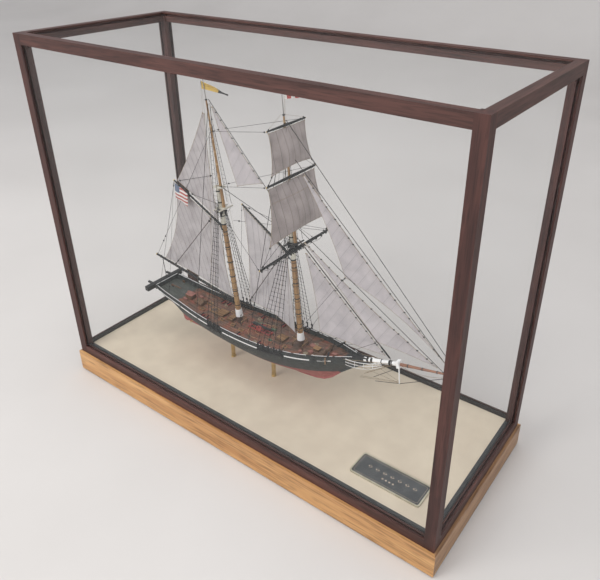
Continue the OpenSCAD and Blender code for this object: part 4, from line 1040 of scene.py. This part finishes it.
def make_deadeyes():
    """Pairs of deadeyes with three-part lanyards, and chain plates down the sides."""
    eyes = Piece("deadeye_pairs", BLACK, "black_spar", replaces=("deadeyes",))
    lanyards = Piece("lanyards", ROPE, "rigging")
    for side in (1, -1):
        for x in FORE_SHROUDS + MAIN_SHROUDS:
            y, z = side * (beam(x) + SHROUD_OUT + 0.4), rail_z(x)
            for dz in (-1.0, 6.4):
                eyes.turned((x, y - 0.8, z + dz), (0, 1, 0),
                            [(1.2, 0), (1.75, 0.25), (1.5, 0.8), (1.75, 1.35), (1.2, 1.6)], 20)
                eyes.ring((x, y, z + dz), (0, 1, 0), 1.75, 0.28, 18, 6)
            for dx in (-0.8, 0, 0.8):
                lanyards.tube([(x + dx, y + side * 0.7, z - 0.4), (x + dx * 0.9, y + side * 0.7, z + 5.8)],
                              0.36, 5)
                lanyards.bead((x + dx, y + side * 0.75, z - 0.5), (0, 1, 0), 0.34, 0.5, 6)
            eyes.rod((x, side * (beam(x) + 1.4), z - 2.4),
                     (x - 0.6, side * (skin(x, 13) + 0.5), z - 13), 0.32)
            eyes.box((x - 0.6, side * (skin(x, 13) + 0.4), z - 13.4), (1.2, 0.6, 2.4))
    eyes.done()
    lanyards.done()


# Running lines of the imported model, from and to, on the starboard side.
LINES = [((34.4, 76, 256), (31.2, 4, 292)), ((32.4, 78, 252), (-92, 6, 262)),
         ((27.8, 52, 363), (-106, 5, 318)), ((21, 39, 433), (-117, 3, 400)),
         ((43, 66, 286), (35.4, 74, 257)), ((31, 43, 376), (30.8, 51, 366)),
         ((-210, 2, 300), (-250, beam(-250), rail_z(-250))), ((-62, 2, 130), (-80, 22, 84)),
         ((77, 2, 129), (60, beam(60) - 2, rail_z(60))), ((176, 2, 151), (110, beam(110), rail_z(110))),
         ((120, 2, 236), (30, beam(30) + 1, rail_z(30)))]
EXTRA_LINES = [                            # buntlines, clew lines, vangs, halyards and lifts
    ((34, 40, 288), (31, 3.5, 366), 0.18), ((30.5, 24, 379), (26, 2.5, 436), 0.16),
    ((43, 64, 288), (31, 5, 366), 0.16), ((31, 42, 378), (24, 3, 434), 0.15),
    ((34.4, 40, 257), (31, 3, 290), 0.18), ((29.8, 50, 365), (24, 1.8, 402), 0.18),
    ((23, 38, 435.5), (14.5, 1.2, 446), 0.16), ((-66, 1, 297), (-58, 30, 88), 0.2),
    ((-212, 1, 301), (-226, 28, 98), 0.2), ((-118, 1.4, 430), (-108, 43.5, 90), 0.16),
    ((18.5, 1.4, 420), (-4, 44, 92), 0.16), ((-112, 3, 300), (-99, 44.4, 90), 0.2),
    ((26, 3, 276), (16, 43, 92), 0.2)]


def mirrored(p, side):
    return Vector((p[0], side * p[1], p[2]))


def make_blocks_and_lines():
    blocks = Piece("blocks", BLACK, "black_spar")
    lines = Piece("fine_lines", ROPE, "rigging")
    pale = Piece("fine_halyards", TAN_ROPE, "rigging")
    served = Piece("served_ropes", SERVED, "rigging")
    for a, b in LINES:
        for side in (1, -1):
            p, q = mirrored(a, side), mirrored(b, side)
            for t in (0.03, 0.94):
                block(blocks, p.lerp(q, t), 0.9, q - p)
    for i, (a, b, r) in enumerate(EXTRA_LINES):
        for side in (1, -1):
            p, q = mirrored(a, side), mirrored(b, side)
            (pale if i % 3 == 0 else lines).line(p, q, r)
            block(blocks, p.lerp(q, 0.04), 0.7, q - p)
            if r >= 0.2:
                block(blocks, p.lerp(q, 0.93), 0.8, q - p)
                block(blocks, p.lerp(q, 0.86), 0.8, q - p)
    for a, b in (((-105, 0, 285), (-180, 0, 288)), ((-124, 0, 330), (-206, 0, 302)),
                 ((18, 0, 286), (-60, 0, 296))):                # halyards of the gaffs
        a, b = Vector(a), Vector(b)
        for t in (0.04, 0.9):
            block(blocks, a.lerp(b, t), 1.0, b - a)
    for t in (0.12, 0.16):                                      # topping lift tackle
        block(blocks, Vector((-277, 0, 149.4)).lerp(Vector((-112, 0, 410)), t), 1.0, (165, 0, 261))
    for mast, h in ((FORE, 262), (MAIN, 282)):                  # cluster under the crosstrees
        for ahead, side in ((6, 4.5), (6, -4.5), (2, 6), (2, -6), (-3, 5), (-3, -5), (8, 0)):
            block(blocks, on_mast(mast, h - 5, ahead, side), 1.1)
            lines.tube([on_mast(mast, h - 3, ahead, side), on_mast(mast, h + 1, ahead * 0.8, side * 0.8)],
                       0.2, 5)
    for side in (1, -1):                                        # truss of the lower yard
        lines.tube([(34.4, side * 4, 253.7), (29, side * 6, 254.5), (24, side * 2.5, 255)], 0.35, 6)
        for y in (5, 9, 14):
            block(blocks, (36.4, side * y, 251.2), 0.95)
    head, foot = Vector((36, 0, 274)), Vector((199, 0, 131))    # forestay, served, with its tackle
    served.line(head.lerp(foot, 0.03), head.lerp(foot, 0.93), 0.75, 8, 20)
    lines.line(head.lerp(foot, 0.9), head.lerp(foot, 0.99), 1.15, 8, 4)
    for a, b in (((-131, -2.5, 259), (-232, -2.8, 142)), ((2, -3, 226), (-61, -2.6, 131.5))):
        a, b = Vector(a), Vector(b)
        served.line(a, b, 0.55, 6, 8)
        for t in (0.02, 0.06, 0.9, 0.97):
            block(blocks, a.lerp(b, t), 1.2, b - a)
    for side in (1, -1):                                        # tackles along the lower yard
        for t in (0.3, 0.46, 0.62, 0.78, 0.93):
            p = Vector((33.6, side * 80 * t, 250.6))
            block(blocks, p, 1.25)
            lines.tube([p, p + Vector((0.6, 0, 3.4))], 0.3, 5)
    for k in range(14):                                         # futtock band, truss and sling chocks
        a = k * 2.4
        p = on_mast(FORE, 250 + 2.1 * (k % 7), 6.2 * math.cos(a), 7.2 * math.sin(a))
        block(blocks, p, 1.5, (math.cos(a), math.sin(a), 1.4))
    for side in (1, -1):                                        # flag halyards
        pale.line((-131, side * 0.4, 468), (-126, side * 14, 96), 0.12)
        pale.line((20.5, side * 0.4, 472), (28, side * 12, 96), 0.12)
    pale.tube([(-209, -3, 299.5), (-207, -1, 304)], 0.14, 5)
    pale.tube([(-209, -3, 275), (-226, -4, 152)], 0.12, 5)
    for piece in (blocks, lines, pale, served):
        piece.done()


def topmast_ratlines():
    """Ratlines on the topmast shrouds, from the crosstrees up."""
    ratlines = Piece("topmast_ratlines", ROPE, "rigging")
    for mast, head in ((FORE, 400), (MAIN, 405)):
        base = on_mast(mast, mast["trestle"]).x + TOP_OFFSET - 5
        tan_rake = math.tan(FORE["rake"])
        for side in (1, -1):
            ends = []
            for i in range(2):
                low = Vector((base - 2 + 9 * i, side * 14, mast["trestle"] + 3))
                high = Vector((base + 3 * i - (head - mast["trestle"]) * tan_rake, side * 3.4, head))
                ends.append((low, high))
            count = int((head - mast["trestle"]) / 6.5)
            for j in range(2, count):
                t = j / count
                ratlines.tube([low.lerp(high, t) for low, high in ends], 0.17, 5)
            # futtock shrouds, from the crosstrees down to the mast
            for i in range(2):
                low = ends[i][0]
                to = on_mast(mast, mast["trestle"] - 16, 1.5 * i, side * 4.2)
                ratlines.tube([low - Vector((0, 0, 3)), to], 0.25, 5)
    ratlines.done()


FORE_HEAD = (FORE["x"] - 266 * math.tan(FORE["rake"]) + 1, 5.7, 268)
MAIN_HEAD = (MAIN["x"] - 286 * math.tan(MAIN["rake"]) + 1, 5.7, 288)
RATLINE_STEP = 7                         # between one ratline and the next


def make_hitches():
    """Clove hitches where each ratline crosses a shroud."""
    hitches = Piece("ratline_hitches", ROPE, "rigging")
    for xs, head, top in ((FORE_SHROUDS, FORE_HEAD, 250), (MAIN_SHROUDS, MAIN_HEAD, 270)):
        for side in (1, -1):
            for i, x in enumerate(xs):
                low = Vector((x, side * (beam(x) + SHROUD_OUT), rail_z(x) + 9))
                high = Vector((head[0] - 1.4 * i, side * (head[1] + 0.4 * i), head[2] + 1.2 * i))
                z = rail_z(xs[0]) + 16
                while z < top:
                    p = low.lerp(high, (z - low.z) / (high.z - low.z))
                    hitches.bead(p, (0, 0, 1), 0.72, 1.3, 6)
                    z += RATLINE_STEP
    hitches.done()


make_hitches()
make_deadeyes()
make_blocks_and_lines()
topmast_ratlines()


# ---------------------------------------------------------------- deck furniture
# Companion, skylight, three gratings and a lid, from aft: x, length, width, height.
HOUSES = [(-203, 14, 12, 7), (-178, 16, 16, 4.5), (-128, 18, 20, 4), (-104, 12, 18, 4), (2, 16, 16, 5),
          (72, 9, 9, 5)]


def make_houses():
    """Skylight, companions and grated hatches on coamings."""
    coam = Piece("coamings", COAMING, "fitting_wood", replaces=("hatches",))
    tops = Piece("hatch_tops", FITTING, "fitting_wood")
    pink = Piece("aft_box_top", PINK, "red_paint")
    for k, (x, l, w, h) in enumerate(HOUSES):
        z = deck_z(x) - 0.2
        for side in (1, -1):
            coam.box((x, side * (w / 2 - 0.5), z + h / 2), (l, 1, h))
            coam.box((x + side * (l / 2 - 0.5), 0, z + h / 2), (1, w - 2, h))
        lid = pink if k == 0 else tops
        if k in (2, 3, 4):                                      # gratings
            for i in range(int(w / 1.6)):
                tops.box((x, -w / 2 + 1.4 + i * 1.6, z + h - 0.5), (l - 2, 0.6, 0.7))
            for i in range(int(l / 1.6)):
                tops.box((x - l / 2 + 1.4 + i * 1.6, 0, z + h - 0.3), (0.6, w - 2, 0.7))
            tops.box((x, 0, z + h - 1.4), (l - 2, w - 2, 0.5))
        elif k == 1:                                            # skylight with sloping lights
            for side in (1, -1):
                slope = (0, 2.6), (side * w / 2, 0), (side * w / 2, -0.6), (0, 1.8)
                coam.loft([[(end, y, z + h + up_by) for y, up_by in slope]
                           for end in (x - l / 2, x + l / 2)])
                for i in range(4):
                    xx = x - l / 2 + 2 + i * (l - 4) / 3
                    tops.rod((xx, side * 0.6, z + h + 2.9), (xx, side * (w / 2 - 1), z + h + 0.6), 0.3)
        else:                                                   # planked lids
            for i in range(int(w / 2.4)):
                y = -w / 2 + 1.2 + (w - 2.4) * i / max(1, int(w / 2.4) - 1)
                lid.box((x, y, z + h + 0.3), (l + 1.4, 2.2, 0.9))
    pale = Piece("foredeck_locker", WHITE, "white_paint")
    pale.box((81, -20, deck_z(81) + 1.4), (10.4, 3.6, 2.8))
    pale.box((81, -20, deck_z(81) + 3.1), (11.2, 4.2, 0.7))
    green = Piece("shot_lockers", GREEN, "fitting_wood")
    for x, y, l, w in ((-58, 12, 12, 3), (-52, 15, 7, 4), (-26, 13, 9, 3), (-12, -13, 6, 3)):
        green.box((x, y, deck_z(x) + 1.4), (l, w, 2.8))
    for x, y, l, w in ((-214, 8, 9, 5), (-206, -11, 8, 4), (-190, 12, 7, 5), (58, 8, 8, 6), (66, -9, 6, 5),
                       (84, 9, 5, 4), (104, 0, 8, 5), (50, -14, 6, 4)):
        pink.box((x, y, deck_z(x) + 1.3), (l, w, 2.6))
    for x, y, l, w in ((-165, 9, 9, 7), (-164, -11, 8, 6), (-146, 0, 12, 12), (-116, 14, 7, 5),
                       (-116, -13, 7, 5), (-92, 13, 6, 6), (-91, -14, 7, 5), (-70, -17, 9, 4),
                       (-30, 20, 9, 4), (18, 14, 8, 6), (20, -15, 7, 5), (34, 17, 7, 5)):
        z = deck_z(x)
        for k in (1, -1):
            tops.box((x, y + k * (w / 2), z + 1.0), (l, 0.9, 2.0))
            tops.box((x + k * (l / 2), y, z + 1.0), (0.9, w, 2.0))
        coam.box((x, y, z + 0.7), (l - 1, w - 1, 1.4))
    coam.done(False, 0.2)
    tops.done(False, 0.1)
    pink.done(False, 0.15)
    pale.done(False, 0.15)
    green.done(False, 0.15)


make_houses()

GUN = Vector((-42, 0, 90.098))
GUN_FOOT = 80.17                         # height of the slide's underside


def make_pivot_gun():
    barrel = Piece("gun_barrel_turned", IRON, "gun_iron", "gun_barrel", ("gun_barrel",))
    profile = [(0.5, -2.9), (1.1, -2.6), (1.3, -2.1), (0.8, -1.4), (0.7, -0.8), (2.4, -0.4),      # cascabel
               (2.75, 0), (2.8, 1.0), (2.55, 1.4), (2.65, 6.5), (2.8, 6.8), (2.8, 7.6), (2.5, 7.9),
               (2.35, 15), (2.5, 15.3), (2.5, 16), (2.2, 16.3), (1.75, 31), (1.75, 32),
               (2.1, 34), (2.15, 35.2), (1.8, 36), (0.95, 36), (0.9, 24)]                         # bore
    barrel.turned(GUN - Vector((15.12, 0, 0)), (1, 0, 0), profile, 28)
    barrel.rod(GUN - Vector((0, 4.4, 0)), GUN + Vector((0, 4.4, 0)), 0.78, n=16)
    barrel.done()
    slide = Piece("gun_carriage", RED, "red_paint", "gun_slide", ("gun_slide",))
    iron = Piece("gun_carriage_iron", IRON, "gun_iron", "gun_slide")
    top = GUN_FOOT + 4.1                   # of the slide's beams
    cheek = [(-10, top), (9, top), (9, top + 4.4), (5.5, GUN.z + 1.5), (-2.5, GUN.z + 1.5),
             (-3.2, top + 4.8), (-6.4, top + 4.4), (-7, top + 2.6), (-10, top + 2.2)]
    for side in (1, -1):
        slide.box((GUN.x, side * 4.2, top - 1.3), (46, 1.7, 2.6))
        slide.loft([[(GUN.x + dx, side * y, z) for dx, z in cheek] for y in (3.2, 4.5)])
        for x in (-7.5, 6.5):
            iron.turned((GUN.x + x, side * 4.7 - 0.5, top + 1.4), (0, 1, 0), band(0.6, 0.9, 1, 0.1))
        iron.turned((GUN.x, side * 5.0 - 0.4, GUN.z), (0, 1, 0), band(1.0, 0.25, 0.8))
        for x in (-21, 21):
            iron.turned((GUN.x + x, side * 2.6 - 0.7, GUN_FOOT + 1.0), (0, 1, 0),
                        band(0.5, 0.5, 1.4, 0.1))
        iron.box((GUN.x, side * 4.2, top + 0.12), (44, 0.7, 0.24))
    for x in (-21, -10, 0, 10, 21):
        slide.box((GUN.x + x, 0, top - 1.5), (2.4, 8, 1.8))
    iron.turned((GUN.x, 0, GUN_FOOT), (0, 0, 1), [(4.2, 0), (4.4, 0.3), (4.4, 1.2), (3.6, 1.7)], 28)
    iron.rod((GUN.x - 8, -3.4, top + 1.2), (GUN.x - 8, 3.4, top + 1.2), 0.5)
    slide.done(False, 0.2)
    iron.done()
    racers = Piece("gun_racers", BRASS, "brass")
    for radius in (9, 21):
        racers.ring((GUN.x, 0, deck_z(GUN.x) - 0.1), (0.012, 0, 1), radius, 0.34, 60, 6)
    racers.done()


def make_windlass():
    x, z = 92, 100.412
    barrel = Piece("windlass_drum", COAMING, "fitting_wood", "windlass", ("windlass_barrel",))
    barrel.turned((x, -7.4, z), (0, 1, 0),
                  [(2.6, 0), (3.0, 0.4), (2.5, 3), (2.4, 5), (3.0, 6), (3.0, 8.8), (2.4, 9.8), (2.5, 11.8),
                   (3.0, 14.4), (2.6, 14.8)], 8)
    barrel.rod((x, -10.1, z), (x, 10.1, z), 1.15, n=16)
    for side in (1, -1):
        barrel.turned((x, side * 11.4 - 1.4, z), (0, 1, 0),
                      [(1.6, 0), (2.2, 0.4), (1.5, 1.4), (2.2, 2.4), (1.6, 2.8)], 16)
        for i in range(8):
            a = math.pi * (2 * i + 1) / 8
            p = Vector((x + 2.55 * math.cos(a), side * 3.9, z + 2.55 * math.sin(a)))
            barrel.rod(p - Vector((0, 2.6, 0)), p + Vector((0, 2.6, 0)), 0.4, n=6)
    barrel.done()
    bitts = Piece("windlass_posts", COAMING, "fitting_wood", "base_and_ship", ("windlass_bitts",))
    for side in (1, -1):
        y = side * 9
        bitts.box((x, y, z - 4.1), (4.4, 2.4, 5))
        bitts.box((x - 1.75, y, z + 1.0), (0.9, 2.4, 5.4))
        bitts.box((x + 1.75, y, z + 1.0), (0.9, 2.4, 5.4))
        bitts.box((x, y, z + 3.6), (4.4, 2.8, 2.4))
    bitts.done(False, 0.2)


make_pivot_gun()
make_windlass()


def make_belaying():
    """Pin rails with belaying pins and hanks of line, and bollards on the deck."""
    rails = Piece("pin_rails", COAMING, "fitting_wood")
    pins = Piece("belaying_pins", TAN_WOOD, "fitting_wood")
    hanks = Piece("line_hanks", TAN_ROPE, "rigging")
    coils = Piece("pin_rail_coils", ROPE, "rigging")
    for side in (1, -1):
        for x0, x1 in ((-12, 32), (-122, -92)):
            pts = steps(x0, x1, 8)
            rails.loft([[(x, side * (skin(x, 3) - 1.3 - a), rail_z(x) - 2.6 + b)
                         for a, b in ((0, 0), (2.2, 0), (2.2, 0.8), (0, 0.8))] for x in pts])
            for i in range(8):
                x = x0 + (x1 - x0) * (i + 0.5) / 8
                y, z = side * (skin(x, 3) - 2.6), rail_z(x) - 5
                pins.turned((x, y, z), (0, 0, 1),
                            [(0.22, 0), (0.3, 2.2), (0.5, 2.5), (0.3, 3.2), (0.48, 4.6), (0.3, 5.1)], 10)
                for k in range(3):
                    hank = [(x + (1.5 + 0.3 * k) * math.sin(t), y - side * (0.6 + 0.5 * k),
                             z + 1.2 - 3.2 * math.cos(t)) for t in steps(0, 2 * math.pi, 14)[:-1]]
                    coils.tube(hank, 0.42, 5, True)
        for x in (-244, -158, 62, 112):
            z, y = deck_z(x), side * (beam(x) - 6)
            for dx in (-1.6, 1.6):
                rails.turned((x + dx, y, z - 0.2), (0, 0, 1),
                             [(0.9, 0), (0.9, 3.4), (1.2, 3.7), (1.2, 4.4), (0.5, 4.8)], 14)
            rails.box((x, y, z + 1.6), (5.6, 0.9, 0.9))
    for x0 in (-86, 40):                                       # fife rails round the masts
        z = deck_z(x0)
        for sx in (-1, 1):
            for sy in (-1, 1):
                rails.box((x0 + sx * 9 - 0.8, sy * 8, z + 3.4), (1.4, 1.4, 7))
            rails.box((x0 + sx * 9 - 0.8, 0, z + 6.4), (1.4, 18, 1))
            for i in range(5):
                y = -6.4 + 3.2 * i
                pins.turned((x0 + sx * 9 - 0.8, y, z + 4.2), (0, 0, 1),
                            [(0.22, 0), (0.3, 2.2), (0.5, 2.6), (0.3, 3.3), (0.46, 4.7), (0.3, 5.2)], 10)
    for x, y, r in ((-66, 26, 4.2), (-30, -30, 4.0), (-140, 24, 4.2), (-140, -24, 4.2),
                    (60, 14, 3.6), (60, -14, 3.6)):             # flat coils of rope
        z = deck_z(x)
        for k in range(5):
            hanks.ring((x, y, z + 0.35), (0, 0, 1), r - 0.75 * k, 0.36, 30, 6)
    rails.done(False, 0.1)
    pins.done()
    hanks.done()
    coils.done()


def make_broadside_guns():
    """Four short guns a side on truck carriages."""
    guns = Piece("broadside_guns", IRON, "gun_iron")
    beds = Piece("broadside_carriages", RED, "red_paint")
    for side in (1, -1):
        for x in (-150, -138, -64, -20):
            z = deck_z(x)
            y = side * (beam(x) - 11)
            beds.box((x, y, z + 1.9), (4.4, 8, 1.4))
            for sx in (-1, 1):
                beds.box((x + sx * 1.9, y, z + 3.2), (0.8, 7, 1.6))
                for dy in (-2.6, 2.6):
                    guns.turned((x + sx * 2.4 - 0.4, y + dy, z + 0.9), (1, 0, 0),
                                band(0.3, 0.65, 0.8, 0.1), 12)
            guns.turned((x, y - side * 4.6, z + 4.3), (0, side, 0),
                        [(0.3, -1.2), (0.6, -0.8), (0.4, -0.3), (1.25, 0), (1.35, 0.5), (1.15, 1),
                         (1.05, 6.5), (0.85, 10.5), (1.1, 11.2), (0.9, 11.8), (0.4, 11.8), (0.4, 9)], 16)
    guns.done()
    beds.done(False, 0.12)


def make_anchors():
    """Two stocked anchors catted at the bow."""
    iron = Piece("anchors", IRON, "gun_iron")
    stock = Piece("anchor_stocks", FITTING, "fitting_wood")
    for side in (1, -1):
        ring = Vector((108, side * (beam(108) + 5.5), rail_z(108) - 3))
        crown = Vector((84, side * (beam(84) + 2.6), rail_z(84) - 3.5))
        iron.ring(ring, (0, 1, 0), 1.4, 0.25, 16, 6)
        iron.rod(ring, crown, 0.55, 0.75)
        d = (ring - crown).normalized()
        for s in (1, -1):
            arm = [crown + d * (4.6 * (1 - math.cos(t))) + Vector((0, 0, s * 6.2 * math.sin(t)))
                   for t in steps(0, 1.25, 8)]
            iron.tube(arm, 0.6, 8)
            iron.box(arm[-1] + Vector((0.4, 0, 0)), (2.6, 1.8, 0.6), 35 * s)
        mid = ring + (crown - ring) * 0.12
        stock.loft([[mid + Vector((a, b, h)) for a, b in ((-w, -w), (w, -w), (w, w), (-w, w))]
                    for h, w in ((-6.5, 0.4), (0, 0.8), (6.5, 0.4))])
    iron.done()
    stock.done(False, 0.12)


def head_y(t):
    """Half the distance between the head rails, which close from the bow (0) to the knee (1)."""
    return (beam(132) + 1) * (1 - t) ** 1.4 + 1.9


def make_head():
    """Head rails with their timbers, bobstays, gammoning and a plain scroll under the bowsprit."""
    rails = Piece("head_rails", WHITE, "white_paint")
    ropes = Piece("bobstays", TAN_ROPE, "rigging")
    for side in (1, -1):
        for k, (z0, z1, sag) in enumerate(((110, 119, 5), (105, 116, 6), (100, 113, 7))):
            rail = [(132 + 54 * t, side * head_y(t), z0 + (z1 - z0) * t - sag * hump(t))
                    for t in steps(0, 1, 20)]
            rails.tube(rail, 0.5 - 0.07 * k, 6)
        for t in (0.25, 0.5, 0.75):
            x, y = 132 + 54 * t, side * head_y(t)
            rails.rod((x, y, 100 + 13 * t - 7 * hump(t)), (x, y, 110 + 9 * t - 5 * hump(t)), 0.35)
        for x0, z0, x1, z1 in ((166, 100, 205, 126), (158, 88, 208, 127), (150, 78, 214, 98)):
            ropes.tube([(x0, side * 1.4, z0), (x1, side * 1.0, z1)], 0.3, 6)
        ropes.tube([(134, side * (beam(134) + 0.8), 108), (206, side * 2.6, 127)], 0.3, 6)
        ropes.tube([(128, side * (beam(128) + 0.8), 108), (215, side * 1.2, 98)], 0.25, 6)
    gammoning = Piece("gammoning", ROPE, "rigging")
    for t in (0.42, 0.5, 0.86):
        p, r = along(BOWSPRIT, t)
        for k in range(4):
            gammoning.ring(p + Vector((k * 0.8, 0, k * 0.2)), (1, 0, 0.3), r + 0.35, 0.45, 18, 6)
    gammoning.done()
    scroll = [(171 + 4.5 * math.cos(t) * (1 - t / 14), 0, 117 + 4.5 * math.sin(t) * (1 - t / 14))
              for t in steps(-1.5, 8, 40)]
    rails.tube(scroll, 0.8, 8)
    rails.done()
    ropes.done()


def make_stern():
    """Two mouldings across the transom, with a row of plain rings between them."""
    trim = Piece("stern_mouldings", WHITE, "white_paint")
    z = rail_z(STERN_X)
    for dz in (-1.6, -9.6):
        trim.rod((STERN_X - 0.9, -24, z + dz), (STERN_X - 0.9, 24, z + dz), 0.35)
    for y in (-15, -9, -3, 3, 9, 15):
        trim.ring((STERN_X - 0.9, y, z - 6), (1, 0, 0), 1.3, 0.25, 16, 6)
    trim.done()


make_belaying()
make_broadside_guns()
make_anchors()
make_head()
make_stern()


# ---------------------------------------------------------------- nameplate
def make_nameplate():
    """A dark plate with a thin gilt line and two rows of plain lozenges, with no lettering."""
    lo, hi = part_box("nameplate")
    centre = Vector(((lo[0] + hi[0]) / 2, (lo[1] + hi[1]) / 2, 0)) / MM
    half = (hi[0] - lo[0]) / 2 / MM, (hi[1] - lo[1]) / 2 / MM
    z0, z1 = 0.02, (hi[2] - BOARD) / MM
    plate = Piece("nameplate_face", PLATE, "plate", replaces=("nameplate",))
    gilt = Piece("nameplate_ornament", PLATE_GILT, "brass")

    def outline(inset, corner, n=6):
        pts = []
        for k, (sx, sy) in enumerate(((1, 1), (-1, 1), (-1, -1), (1, -1))):
            cx, cy = sx * (half[0] - inset - corner), sy * (half[1] - inset - corner)
            for a in steps(k * math.pi / 2, (k + 1) * math.pi / 2, n):
                pts.append((centre.x + cx + corner * math.cos(a), centre.y + cy + corner * math.sin(a)))
        return pts

    plate.loft([[(x, y, z) for x, y in outline(i, 4 - i)] for z, i in ((z0, 0), (z1 - 0.5, 0), (z1, 0.4))])
    gilt.tube([(x, y, z1 + 0.05) for x, y in outline(2.6, 2.2)], 0.16, 6, True)
    for i in range(7):                     # open lozenges, each with a stud in it
        x, y = centre.x + (i - 3) * 11.6, centre.y + 2.6
        lozenge = [(x + a, y + b, z1 + 0.1) for a, b in ((4.4, 0), (0, 3.9), (-4.4, 0), (0, -3.9))]
        gilt.tube(lozenge, 0.55, 6, True)
        gilt.bead((x, y, z1 + 0.1), (0, 0, 1), 1.1, 0.8, 12)
    for i in range(4):                     # a short row of studs below
        x, y = centre.x + (i - 1.5) * 5.4, centre.y - 7
        gilt.loft([[(x + a * k, y + b * k, z1 + h) for a, b in ((1.9, 0), (0, 1.7), (-1.9, 0), (0, -1.7))]
                   for k, h in ((1, -0.1), (0.7, 0.3))])
    plate.done()
    gilt.done()


make_nameplate()


# ---------------------------------------------------------------- room
def make_room():
    """A pale floor that sweeps up far behind the case, well outside every view's camera."""
    pale = paint("pale_floor", (0.635, 0.605, 0.575), (0.675, 0.645, 0.615), 0.85, 2, 0.03)
    reach, bend, radius = 7.0, 2.6, 1.2
    profile = [(-reach, 0.0), (-2.0, 0.0), (0.0, 0.0), (bend, 0.0)]
    profile += [(bend + radius * math.sin(a), radius * (1 - math.cos(a)))
                for a in steps(0.1, math.pi / 2, 16)]
    profile.append((bend + radius, 4.0))
    verts = [(x, y, z) for y, z in profile for x in (-reach, reach)]
    faces = [(2 * i, 2 * i + 1, 2 * i + 3, 2 * i + 2) for i in range(len(profile) - 1)]
    mesh = bpy.data.meshes.new("floor")
    mesh.from_pydata(verts, [], faces)
    mesh.materials.append(pale)
    mesh.shade_smooth()
    floor = bpy.data.objects.new("floor", mesh)
    bpy.context.collection.objects.link(floor)


make_room()
